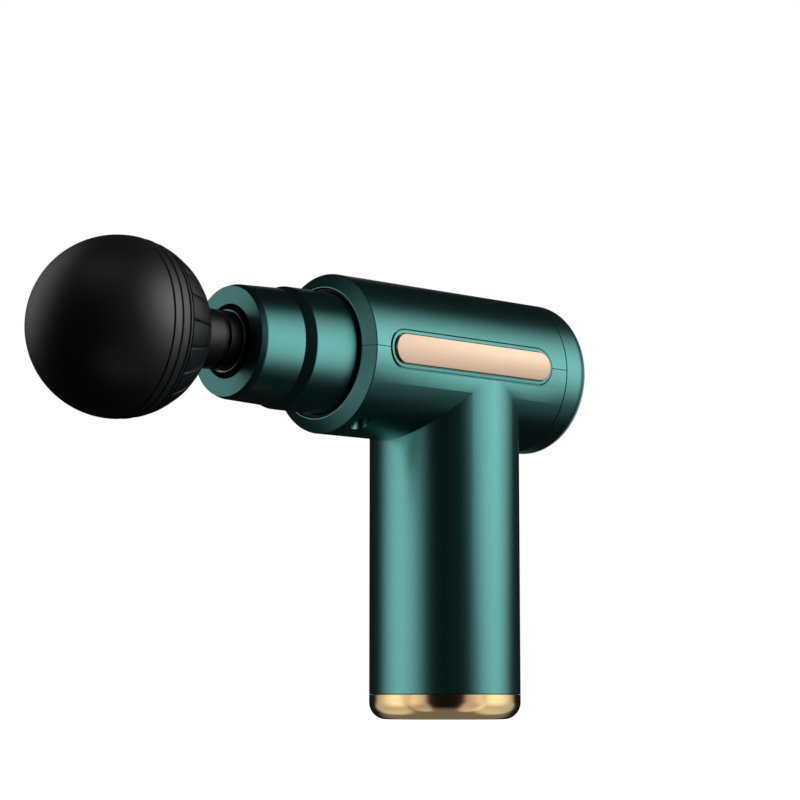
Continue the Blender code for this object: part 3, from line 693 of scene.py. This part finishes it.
class MASSAGEGUN_OT_nose(bpy.types.Operator):
    """The stepped nose: the sleeve behind the barrel's rim and the front cap"""

    bl_idname = "massage_gun.nose"
    bl_label = "Nose"

    def execute(self, context):
        seam = NOSE_SEAM_X + 0.8 * MM
        sleeve = turned([
            (seam - 3.5 * MM, 13.6 * MM, 0), (seam - 3.5 * MM, 15.5 * MM, 0),
            (seam + 0.3 * MM, 15.5 * MM, 0), (seam + 0.3 * MM, 17.3 * MM, 0.15 * MM),
            (seam + 3.8 * MM, 19.3 * MM, 0.25 * MM), (RIM_X + 4.0 * MM, 19.5 * MM, 0),
            (RIM_X + 4.0 * MM, FLANGE_R, 0), (RIM_X + 6.0 * MM, FLANGE_R, 0),
            (RIM_X + 6.0 * MM, 16.8 * MM, 0), (seam + 2.4 * MM, 16.8 * MM, 0),
            (seam + 2.4 * MM, 13.6 * MM, 0)])
        sleeve = cut(sleeve, *screw_holes(BARREL_Z - 30 * MM, BARREL_Z + 30 * MM, 4.7 * MM))
        painted("nose_rear_section", sleeve, "nose_sleeve")
        rim_bore = context.scene.massage_gun_housing.rim_bore
        # A black rubber ring sunk in the gap between the sleeve and the rim's bore: painted shade
        # that keeps the gap dark, not a seal of the real gun.
        seal = ring(RIM_X + 0.9 * MM, RIM_X + 3.6 * MM, 19.6 * MM, rim_bore - 0.05 * MM,
                    0.2 * MM)
        piece("rim_seal", seal, "nitrile_rubber", "housing", "black_rubber")
        bore = 11.4 * MM
        cap = turned([
            (NOSE_X, bore, 0.3 * MM), (NOSE_X, 17.1 * MM, 0.15 * MM),
            (NOSE_X + 2.0 * MM, 17.8 * MM, 0.3 * MM), (seam, 18.4 * MM, 0.3 * MM),
            (seam, 15.8 * MM, 0), (NOSE_X + 4.9 * MM, 15.8 * MM, 0),
            (NOSE_X + 4.9 * MM, NOSE_LEDGE_R, 0), (NOSE_X + NOSE_LEDGE, NOSE_LEDGE_R, 0),
            (NOSE_X + NOSE_LEDGE, bore, 0)])
        painted("nose_front_section", cap, "nose_cap")
        return {"FINISHED"}


class MASSAGEGUN_OT_side_trims(bpy.types.Operator):
    """A green bezel in each side's pocket, and the gold plate that it frames"""

    bl_idname = "massage_gun.side_trims"
    bl_label = "Side Trims"

    def execute(self, context):
        sizes = context.scene.massage_gun_housing
        grow = 2 * sizes.bezel_margin - 0.2 * MM
        for side, word in ((-1, "left"), (1, "right")):
            bezel = round_ended(PLATE_LENGTH + grow, sizes.plate_height + grow,
                                BARREL_R - 0.9 * MM, BARREL_R + 0.3 * MM,
                                sizes.bezel_margin - GAP, BARREL_R - 0.3 * MM, 0.22 * MM)
            painted("bezel_" + word, bend_on_barrel(bezel, side), "side_bezel_" + word)
            plate = round_ended(PLATE_LENGTH, sizes.plate_height, BARREL_R, PLATE_R,
                                rounding=0.35 * MM)
            piece("plate_" + word, bend_on_barrel(plate, side), "champagne_anodising",
                  "housing", "gold_plate", "side_plate_" + word)
        return {"FINISHED"}


def screw(seat, head_r, head_h, shank_r, length, axis):
    """A pan-head screw pointing up its axis, with a cross in its head."""
    low = seat - head_h
    bm = turned([
        (low, 0, 0), (low, head_r * 0.92, 0.35 * head_h),
        (low + head_h * 0.7, head_r, 0.08 * head_h), (seat, head_r, 0), (seat, shank_r, 0),
        (seat + length - shank_r, shank_r, 0), (seat + length, shank_r * 0.3, 0),
        (seat + length, 0, 0)], axis, TINY)
    arm, width, depth = head_r * 0.58, head_r * 0.14, head_h * 0.6
    for reach_x, reach_y in ((arm, width), (width, arm)):
        slot = block((-reach_x, -reach_y, low - depth), (reach_x, reach_y, low + depth))
        bmesh.ops.transform(slot, matrix=axis, verts=slot.verts)
        bm = cut(bm, slot)
    return bm


class MASSAGEGUN_OT_screws(bpy.types.Operator):
    """The two screws that hold the barrel's halves together"""

    bl_idname = "massage_gun.screws"
    bl_label = "Housing Screws"

    def execute(self, context):
        for number, side in ((1, -1), (2, 1)):
            made = screw(SCREW_SEAT_Z - GAP, 2.8 * MM, 1.8 * MM, 1.2 * MM, 26 * MM,
                         upright(SCREW_X, side * SCREW_Y))
            piece(f"barrel_screw_{number}", made, "blackened_steel", "housing", "dark_steel",
                  f"housing_screw_{number}")
        return {"FINISHED"}


class MASSAGEGUN_OT_base(bpy.types.Operator):
    """The gold base cap and its three screws"""

    bl_idname = "massage_gun.base"
    bl_label = "Base Cap"

    def execute(self, context):
        turn_r = context.scene.massage_gun_housing.base_round
        outline = [(0, 0, 0)]
        outline += arc(turn_r, HANDLE_R - turn_r, turn_r, turn_r, -90, 0, 16)
        spigot_r, inside = 22.4 * MM, 2.6 * MM
        outline += [(BASE_SEAM_Z, HANDLE_R, 0.15 * MM), (BASE_SEAM_Z, spigot_r, 0),
                    (BASE_SPIGOT_Z, spigot_r, 0), (BASE_SPIGOT_Z, spigot_r - SPIGOT_WALL, 0),
                    (inside, spigot_r - SPIGOT_WALL, 0), (inside, 0, 0)]
        cap = turned(outline, HANDLE)
        seat = 1.4 * MM
        for number in (1, 2, 3):
            node = f"base_screw_{number}"
            axis = upright(middle(node, X), middle(node, Y))
            sink = turned([(-1 * MM, 0, 0), (-1 * MM, 4.0 * MM, 0), (0.3 * MM, 2.6 * MM, 0),
                           (seat, 2.6 * MM, 0), (seat, 0, 0)], axis, TINY)
            hole = ring(1 * MM, 4 * MM, 0, 1.4 * MM, axis=axis, steps=TINY)
            cap = cut(cap, sink, hole)
            made = screw(seat - GAP, 2.3 * MM, 0.9 * MM, 1.1 * MM, 8.5 * MM, axis)
            piece(f"base_cap_screw_{number}", made, "gold_plating", "housing", "gold_plate",
                  node)
        piece("gold_base", cap, "gold_plating", "housing", "gold_plate", "base_cap")
        return {"FINISHED"}


class MASSAGEGUN_OT_controls(bpy.types.Operator):
    """The power button, its light ring and the black panel round them"""

    bl_idname = "massage_gun.controls"
    bl_label = "Controls"

    def execute(self, context):
        floor = start("control_panel", X)
        panel = ring(floor, end("control_panel", X), 8.9 * MM, 12.6 * MM, 0.25 * MM)
        piece("black_panel", panel, "gloss_acrylic", "housing", "gloss_black",
              "control_panel")
        lamp = ring(floor, end("light_ring", X), 7.3 * MM, 8.6 * MM, 0.3 * MM)
        piece("ring_lens", lamp, "frosted_lens", "housing", "milky_lens", "light_ring")
        back = start("power_button", X)
        front = end("power_button", X)
        shelf = floor + 0.8 * MM
        button = turned([(back, 0, 0), (back, 2.0 * MM, 0.2 * MM), (shelf, 2.0 * MM, 0),
                         (shelf, 6.9 * MM, 0.1 * MM), (front - 0.4 * MM, 6.9 * MM, 0.15 * MM),
                         (front, 6.3 * MM, 0.3 * MM), (front - 0.25 * MM, 3.5 * MM, 1.2 * MM),
                         (front - 0.3 * MM, 0, 0)])
        piece("button_cap", button, "gloss_acrylic", "power_button", "gloss_black",
              "power_button")
        return {"FINISHED"}


class MASSAGEGUN_OT_charge_port(bpy.types.Operator):
    """The charging port's frame in the handle's back, and the socket inside it"""

    bl_idname = "massage_gun.charge_port"
    bl_label = "Charging Port"

    def execute(self, context):
        node = "charge_port_frame"
        back = start(node, X) + 0.6 * MM
        surround = round_ended(2 * half(node, Y), 2 * half(node, Z), back, HANDLE_R + 0.1 * MM,
                               1.5 * MM, back, 0.25 * MM)
        piece("port_surround", bend_on_handle(surround), "moulded_abs", "housing",
              "black_plastic", node)
        low = start("charge_socket", X)
        deep = end("charge_socket", X) - low
        shell = round_ended(9.0 * MM, 3.2 * MM, 0, deep, 0.35 * MM, 1.2 * MM, 0.08 * MM)
        tongue = round_ended(6.4 * MM, 0.7 * MM, 0.6 * MM, deep - 0.8 * MM)
        socket = join(shell, tongue)
        place = Matrix.Translation((low, 0, PORT_Z)) @ Matrix.Rotation(-math.pi / 2, 4, "Z")
        bmesh.ops.transform(socket, matrix=place, verts=socket.verts)
        piece("port_socket", socket, "turned_steel", "housing", "steel", "charge_socket")
        return {"FINISHED"}


# Head and piston

def sphere_r(radius, along):
    """The radius of a sphere's slice at a distance along its axis."""
    return math.sqrt(max(radius * radius - along * along, 0))


def cup_r(along):
    """The radius of the head cup's rounded back at a distance from the ball's centre."""
    return BALL_R * math.sqrt(1 - (along / (27.8 * MM)) ** 2)


class MASSAGEGUN_OT_ball(bpy.types.Operator):
    """The soft hollow ball with three narrow grooves near its open back"""

    bl_idname = "massage_gun.ball"
    bl_label = "Ball"

    def execute(self, context):
        sizes = context.scene.massage_gun_head
        groove_half = 0.32 * MM
        grooves = (0.9 * MM, 4.0 * MM, 7.3 * MM)
        back = 8.5 * MM
        steps = 48
        outline = [(-BALL_R, 0, 0)]
        for step in range(1, steps + 1):
            along = -BALL_R * math.cos(math.pi / 2 * step / steps)
            outline.append((along, sphere_r(BALL_R, along), 0))
        for along in grooves:
            radius = sphere_r(BALL_R, along)
            outline += [(along - groove_half, radius, 0.12 * MM),
                        (along - 0.1 * MM, radius - sizes.groove, 0.05 * MM),
                        (along + 0.1 * MM, radius - sizes.groove, 0.05 * MM),
                        (along + groove_half, radius, 0.12 * MM)]
        outline.append((back, sphere_r(BALL_R, back), 0.25 * MM))
        inner = BALL_R - sizes.wall
        outline.append((back, sphere_r(inner, back), 0))
        for step in range(14, 0, -1):
            along = -inner * math.cos(math.pi / 2 * step / 15)
            outline.append((along, sphere_r(inner, along), 0))
        outline.append((-inner, 0, 0))
        outline = [(BALL_X + along, radius, rounding) for along, radius, rounding in outline]
        ball = piece("soft_ball", turned(outline, steps=192), "soft_silicone", "massage_head",
                     "black_rubber", "ball_cover")
        return {"FINISHED"}


class MASSAGEGUN_OT_head_cup(bpy.types.Operator):
    """The ribbed back of the head, which carries the ball"""

    bl_idname = "massage_gun.head_cup"
    bl_label = "Head Cup"

    def execute(self, context):
        sizes = context.scene.massage_gun_head
        steps = 18
        first, last = 8.8 * MM, 25.8 * MM
        outline = []
        for step in range(steps + 1):
            along = first + (last - first) * math.sin(math.pi / 2 * step / steps)
            outline.append((along, cup_r(along), 0.4 * MM if step == steps else 0))
        outline += [(last, 1.7 * MM, 0), (24.2 * MM, 1.7 * MM, 0), (24.2 * MM, 9.4 * MM, 0),
                    (19.6 * MM, 16.7 * MM, 0), (12.0 * MM, 21.6 * MM, 0),
                    (4.0 * MM, 21.6 * MM, 0), (4.0 * MM, 22.7 * MM, 0.3 * MM),
                    (first, 22.7 * MM, 0)]
        outline = [(BALL_X + along, radius, rounding) for along, radius, rounding in outline]
        cup = turned(outline, steps=sizes.ribs * 24)
        panel = 2 * math.pi / sizes.ribs
        for vert in cup.verts:
            along = vert.co.x - BALL_X
            spoke = Vector((0, vert.co.y, vert.co.z - BARREL_Z))
            if along < first - WELD or spoke.length < 0.95 * cup_r(along):
                continue
            angle = math.atan2(spoke.z, spoke.y) % panel / panel
            beside = abs(angle - 0.5) * 2
            fade = min((along - first) / (1.2 * MM), (last - along) / (1.5 * MM), 1)
            groove = max(0, (beside - 0.86) / 0.14) ** 2
            crown = 0.25 * beside ** 2
            vert.co -= spoke.normalized() * sizes.rib_depth * max(fade, 0) * (groove + crown)
        piece("ribbed_cup", cup, "moulded_abs", "massage_head", "black_plastic", "head_cup")
        return {"FINISHED"}


class MASSAGEGUN_OT_head_stem(bpy.types.Operator):
    """The neck and plug of the head, with its O-rings and screw"""

    bl_idname = "massage_gun.head_stem"
    bl_label = "Head Stem"

    def execute(self, context):
        neck_start = start("head_stem", X)
        shoulder = PISTON_X - GAP
        plug_end = end("head_stem", X)
        plug_r = 5.5 * MM
        groove_r = 4.5 * MM
        outline = [(neck_start, 1.6 * MM, 0), (neck_start, NECK_R, 0.3 * MM),
                   (shoulder - 5.6 * MM, NECK_R, 0.25 * MM),
                   (shoulder - 5.2 * MM, 8.4 * MM, 0.15 * MM),
                   (shoulder - 4.3 * MM, 8.4 * MM, 0.15 * MM),
                   (shoulder - 3.9 * MM, NECK_R, 0.25 * MM),
                   (shoulder, NECK_R, 0.25 * MM), (shoulder, plug_r, 0.2 * MM)]
        for number in (1, 2):
            bead = middle(f"stem_o_ring_{number}", X)
            low, high = bead - 0.8 * MM, bead + 0.8 * MM
            outline += [(low, plug_r, 0.15 * MM), (low, groove_r, 0), (high, groove_r, 0),
                        (high, plug_r, 0.15 * MM)]
            seal = turned(arc(bead, 5.25 * MM, 0.6 * MM, 0.6 * MM, 0, 345, 23), steps=96)
            piece(f"o_ring_{number}", seal, "nitrile_rubber", "massage_head", "black_rubber",
                  f"stem_o_ring_{number}")
        outline += [(plug_end - 1 * MM, plug_r, 0.3 * MM), (plug_end, plug_r - 1 * MM, 0.2 * MM),
                    (plug_end, 0, 0), (neck_start + 9 * MM, 0, 0),
                    (neck_start + 9 * MM, 1.6 * MM, 0)]
        piece("neck_and_plug", turned(outline, steps=MEDIUM), "moulded_abs", "massage_head",
              "black_plastic", "head_stem")
        return {"FINISHED"}


class MASSAGEGUN_OT_piston(bpy.types.Operator):
    """The piston with its steel face ring, and the wiper seal round it"""

    bl_idname = "massage_gun.piston"
    bl_label = "Piston"

    def execute(self, context):
        bore = 6.0 * MM
        low, high = start("piston_ring", X), end("piston_ring", X)
        face = turned([(low, bore, 0.2 * MM), (low, PISTON_R, 0.35 * MM), (high, PISTON_R, 0),
                       (high, bore, 0)], steps=MEDIUM)
        piece("piston_face", face, "turned_steel", "piston", "steel", "piston_ring")
        low, high = start("piston", X), end("piston", X)
        depth = low + 18.5 * MM
        body = turned([(low, bore, 0), (low, PISTON_R, 0.1 * MM), (high, PISTON_R, 1 * MM),
                       (high, 0, 0), (depth, 0, 0), (depth, bore, 0)], steps=MEDIUM)
        piece("piston_body", body, "moulded_nylon", "piston", "black_plastic", "piston")
        low, high = start("wiper_seal", X), end("wiper_seal", X)
        seal = turned([(low, PISTON_R + GAP, 0.1 * MM), (low + 0.5 * MM, 11.0 * MM, 0.2 * MM),
                       (low, 12.0 * MM, 0), (low, 13.0 * MM, 0), (high, 13.0 * MM, 0),
                       (high, PISTON_R + GAP, 0)], steps=MEDIUM)
        piece("wiper", seal, "nitrile_rubber", "housing", "black_rubber", "wiper_seal")
        return {"FINISHED"}


# Pieces inside, whose CAD shapes stay

INSIDE = {
    "aluminium": "cast_aluminium",
    "black_plastic": "moulded_nylon",
    "bronze": "sintered_bronze",
    "cell_wrap": "shrink_wrap",
    "circuit_board": "solder_mask",
    "copper": "enamelled_copper",
    "dark_steel": "blackened_steel",
    "gloss_black": "gloss_acrylic",
    "grey_rubber": "grey_rubber",
    "steel": "turned_steel",
}


class MASSAGEGUN_OT_inside(bpy.types.Operator):
    """Finishes for the motor, crank, guides, battery and boards inside"""

    bl_idname = "massage_gun.inside"
    bl_label = "Pieces Inside"

    def execute(self, context):
        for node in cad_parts.values():
            if node.hide_render:
                continue
            old = node.material_slots[0].material.name.split(".")[0]
            node.material_slots[0].material = finish(INSIDE[old])
        return {"FINISHED"}


# Studio

HEAD = ("soft_ball", "ribbed_cup", "neck_and_plug")
WHITE, PINK = (1, 1, 1), (1, 0.84, 0.95)
MIDDLE = Vector((-20 * MM, 0, 85 * MM))         # of the whole gun
BASE = Vector((0, 0, 5 * MM))                   # of the base cap
PLATE_REAR = Vector((PLATE_X + 24 * MM, -BARREL_R, BARREL_Z))     # towards its two ends
PLATE_FRONT = Vector((PLATE_X - 34 * MM, -BARREL_R, BARREL_Z))


def stage_piece(name, bm, material):
    """The object for a shape that belongs to the stage."""
    mesh = bpy.data.meshes.new(name)
    bm.to_mesh(mesh)
    bm.free()
    mesh.materials.append(material)
    made = bpy.data.objects.new(name, mesh)
    bpy.context.scene.collection.objects.link(made)
    return made


def soft_box(name, angle, elevation, distance, width, height, strength, full=1.0, aim=MIDDLE,
             colour=WHITE):
    """A soft box that fades towards its edges, at an angle to the camera's right.

    full is how much of the way to its middle it takes to reach its whole brightness. What
    lies behind it still shines through.
    """
    studio = bpy.context.scene.massage_gun_studio
    angle, elevation = math.radians(angle), math.radians(elevation)
    heading = studio.heading
    to_camera = Vector((-math.sin(heading), -math.cos(heading), 0))
    to_right = Vector((math.cos(heading), -math.sin(heading), 0))
    level = to_camera * math.cos(angle) + to_right * math.sin(angle)
    direction = level * math.cos(elevation) + Vector((0, 0, math.sin(elevation)))
    bm = bmesh.new()
    bm.loops.layers.uv.new()
    bmesh.ops.create_grid(bm, x_segments=1, y_segments=1, size=0.5, calc_uvs=True)
    turned_to = direction.to_track_quat("Z", "Y").to_matrix().to_4x4()
    place = Matrix.Translation(aim + direction * distance) @ turned_to
    bmesh.ops.transform(bm, matrix=place @ Matrix.Diagonal((width, height, 1, 1)),
                        verts=bm.verts)
    bmesh.ops.reverse_faces(bm, faces=bm.faces)
    material = bpy.data.materials.new(name)
    material.use_nodes = True
    tree = material.node_tree
    tree.nodes.clear()
    uv = add(tree, "TexCoord").outputs["UV"]
    centred = add(tree, "Mapping", {"Vector": uv, "Location": (-1, -1, 0), "Scale": (2, 2, 1)})
    fade = add(tree, "TexGradient", {"Vector": centred.outputs["Vector"]},
               gradient_type="SPHERICAL")
    soft = add(tree, "MapRange", {"Value": fade.outputs["Fac"], "From Max": full,
                                  "To Max": strength}, interpolation_type="SMOOTHSTEP")
    glow = add(tree, "Emission", {"Color": (*colour, 1), "Strength": soft.outputs["Result"]})
    clear = add(tree, "BsdfTransparent")
    both = add(tree, "AddShader", {0: glow.outputs["Emission"], 1: clear.outputs["BSDF"]})
    add(tree, "OutputMaterial", {"Surface": both.outputs["Shader"]})
    box = stage_piece(name, bm, material)
    box.visible_camera = False
    box.visible_shadow = False
    return box


def light(box, state, *pieces):
    """Lights only some pieces with a soft box, state INCLUDE, or all but them, EXCLUDE."""
    group = bpy.data.collections.new(box.name + "_pieces")
    for name in pieces:
        group.objects.link(bpy.data.objects[name])
    for member in group.collection_objects:
        member.light_linking.link_state = state
    box.light_linking.receiver_collection = group


def pale_floor():
    """A plain pale floor, which metal doesn't mirror."""
    bm = bmesh.new()
    bmesh.ops.create_grid(bm, x_segments=1, y_segments=1, size=4)
    bmesh.ops.translate(bm, verts=bm.verts, vec=(0, 0, -0.1 * MM))
    material = bpy.data.materials.new("white_board")
    material.use_nodes = True
    sockets = material.node_tree.nodes["Principled BSDF"].inputs
    sockets["Base Color"].default_value = (0.9, 0.9, 0.9, 1)
    sockets["Roughness"].default_value = 1.0
    sockets["Specular IOR Level"].default_value = 0.0
    sockets["Emission Color"].default_value = (1, 1, 1, 1)
    sockets["Emission Strength"].default_value = 1.05
    floor = stage_piece("floor", bm, material)
    floor.visible_glossy = False
    floor.visible_diffuse = False


def white_surround():
    """A world that looks white behind the gun and lights it only faintly."""
    world = bpy.data.worlds.new("white_surround")
    world.use_nodes = True
    tree = world.node_tree
    tree.nodes.clear()
    seen = add(tree, "Background", {"Color": (1, 1, 1, 1), "Strength": 1.0})
    dim = add(tree, "Background", {"Color": (1, 1, 1, 1), "Strength": 0.008})
    ray = add(tree, "LightPath").outputs["Is Camera Ray"]
    mixed = add(tree, "MixShader", {0: ray, 1: dim.outputs[0], 2: seen.outputs[0]})
    add(tree, "OutputWorld", {"Surface": mixed.outputs[0]})
    bpy.context.scene.world = world


def housing_boxes(right, left):
    """The large soft boxes round the gun, some of which light only a piece or two."""
    nose = ("nose_front_section", "nose_rear_section")
    light(soft_box("soft_box_right", 78, 17, 0.9, 1.85, 1.9, right), "EXCLUDE", *nose)
    light(soft_box("soft_box_nose", 80, 9, 0.9, 1.75, 2.3, 0.86 * right), "INCLUDE", *nose)
    light(soft_box("soft_box_left", -71, 4, 0.9, 2.0, 1.80, left), "EXCLUDE", *HEAD, nose[0])
    light(soft_box("soft_box_face", -90, 4, 0.9, 1.6, 1.8, 0.42 * left), "INCLUDE", nose[0])
    light(soft_box("soft_box_far_side", 198, -4, 0.9, 2.2, 1.8, 0.9), "INCLUDE", "plate_right",
          "bezel_right")
    light(soft_box("soft_box_rear", 150, 2, 0.9, 1.2, 1.1, 0.55), "INCLUDE", "rear_dome")
    soft_box("soft_box_low", 84, -10, 0.9, 1.5, 2.2, 0.15)
    soft_box("soft_box_back", 180, 24, 1.2, 0.4, 0.6, 0.15)


def head_boxes():
    """Soft boxes that draw the black ball's sheen."""
    for name, angle, elevation, width, height, strength in (
            ("top", -30, 58, 1.3, 0.9, 0.18), ("side", -114, 24, 1.6, 1.5, 0.55),
            ("right", 72, 26, 1.0, 1.3, 0.88), ("low", 10, -50, 1.6, 1.0, 0.12),
            ("rear", 114, 26, 1.0, 1.3, 0.6)):
        box = soft_box("soft_box_head_" + name, angle, elevation, 1.0, width, height, strength,
                       0.8)
        light(box, "INCLUDE", *HEAD)


def base_cards():
    """Near cards that the polished base mirrors, each as wide as an angle seen from it."""
    distance = 0.25
    for name, angle, width, strength, colour in (
            ("left", -39, 36, 0.55, PINK), ("right", 42, 42, 0.68, PINK),
            ("far_left", -96, 78, 0.6, WHITE), ("far_right", 92, 84, 0.6, WHITE)):
        across = 2 * distance * math.tan(math.radians(width / 2))
        card = soft_box("base_card_" + name, angle, -22, distance, across, 0.46, strength, 0.4,
                        BASE, colour)
        light(card, "INCLUDE", "gold_base")
    below = soft_box("base_card_below", 0, -90, 0.03, 0.15, 0.15, 0.2, 0.5, BASE)
    light(below, "INCLUDE", "gold_base")


def plate_cards():
    """Near cards that the left side plate mirrors along its length."""
    for name, angle, elevation, width, strength, aim in (
            ("rear", 88, 24, 0.13, 1.2, PLATE_REAR), ("front", 10, 8, 0.32, 0.8, PLATE_FRONT),
            ("left", -62, 8, 0.34, 0.8, PLATE_FRONT)):
        card = soft_box("plate_card_" + name, angle, elevation, 0.22, width, 0.20, strength,
                        aim=aim)
        light(card, "INCLUDE", "plate_left")


class MASSAGEGUN_OT_stage(bpy.types.Operator):
    """The floor, the soft boxes, the surround and the camera"""

    bl_idname = "massage_gun.stage"
    bl_label = "Stage"

    def execute(self, context):
        studio = context.scene.massage_gun_studio
        pale_floor()
        white_surround()
        housing_boxes(studio.right_light, studio.left_light)
        head_boxes()
        base_cards()
        plate_cards()
        camera = bpy.data.objects.new("camera", bpy.data.cameras.new("camera"))
        camera.location = (-math.sin(studio.orbit) * studio.distance,
                           -math.cos(studio.orbit) * studio.distance, studio.height)
        camera.rotation_euler = (math.pi / 2 + studio.pitch, 0, -studio.heading)
        camera.data.sensor_width = 36.0
        camera.data.lens = studio.lens
        camera.data.clip_start, camera.data.clip_end = 0.05, 20
        context.scene.collection.objects.link(camera)
        context.scene.camera = camera
        context.scene.view_settings.view_transform = "Standard"
        return {"FINISHED"}


PIECES = (MASSAGEGUN_OT_housing, MASSAGEGUN_OT_rear_cap, MASSAGEGUN_OT_nose,
          MASSAGEGUN_OT_side_trims, MASSAGEGUN_OT_screws, MASSAGEGUN_OT_base,
          MASSAGEGUN_OT_controls, MASSAGEGUN_OT_charge_port, MASSAGEGUN_OT_ball,
          MASSAGEGUN_OT_head_cup, MASSAGEGUN_OT_head_stem, MASSAGEGUN_OT_piston,
          MASSAGEGUN_OT_inside, MASSAGEGUN_OT_stage)
SETTINGS = {"massage_gun_housing": MassageGunHousing, "massage_gun_head": MassageGunHead,
            "massage_gun_colours": MassageGunColours, "massage_gun_studio": MassageGunStudio}


class MASSAGEGUN_PT_build(bpy.types.Panel):
    """Lists the settings and the pieces"""

    bl_idname = "MASSAGEGUN_PT_build"
    bl_label = "Massage Gun"
    bl_space_type = "VIEW_3D"
    bl_region_type = "UI"
    bl_category = "Massage Gun"

    def draw(self, context):
        for name, group in SETTINGS.items():
            column = self.layout.column(heading=group.__doc__)
            for setting in group.__annotations__:
                column.prop(getattr(context.scene, name), setting)
        for operator in PIECES:
            self.layout.operator(operator.bl_idname)


def register():
    for group in SETTINGS.values():
        bpy.utils.register_class(group)
    for name, group in SETTINGS.items():
        setattr(bpy.types.Scene, name, PointerProperty(type=group))
    for made in (*PIECES, MASSAGEGUN_PT_build):
        bpy.utils.register_class(made)


def unregister():
    for made in (MASSAGEGUN_PT_build, *reversed(PIECES)):
        bpy.utils.unregister_class(made)
    for name, group in reversed(SETTINGS.items()):
        delattr(bpy.types.Scene, name)
        bpy.utils.unregister_class(group)


def main():
    register()
    for operator in PIECES:
        group, name = operator.bl_idname.split(".")
        getattr(getattr(bpy.ops, group), name)()


if __name__ == "__main__":
    main()
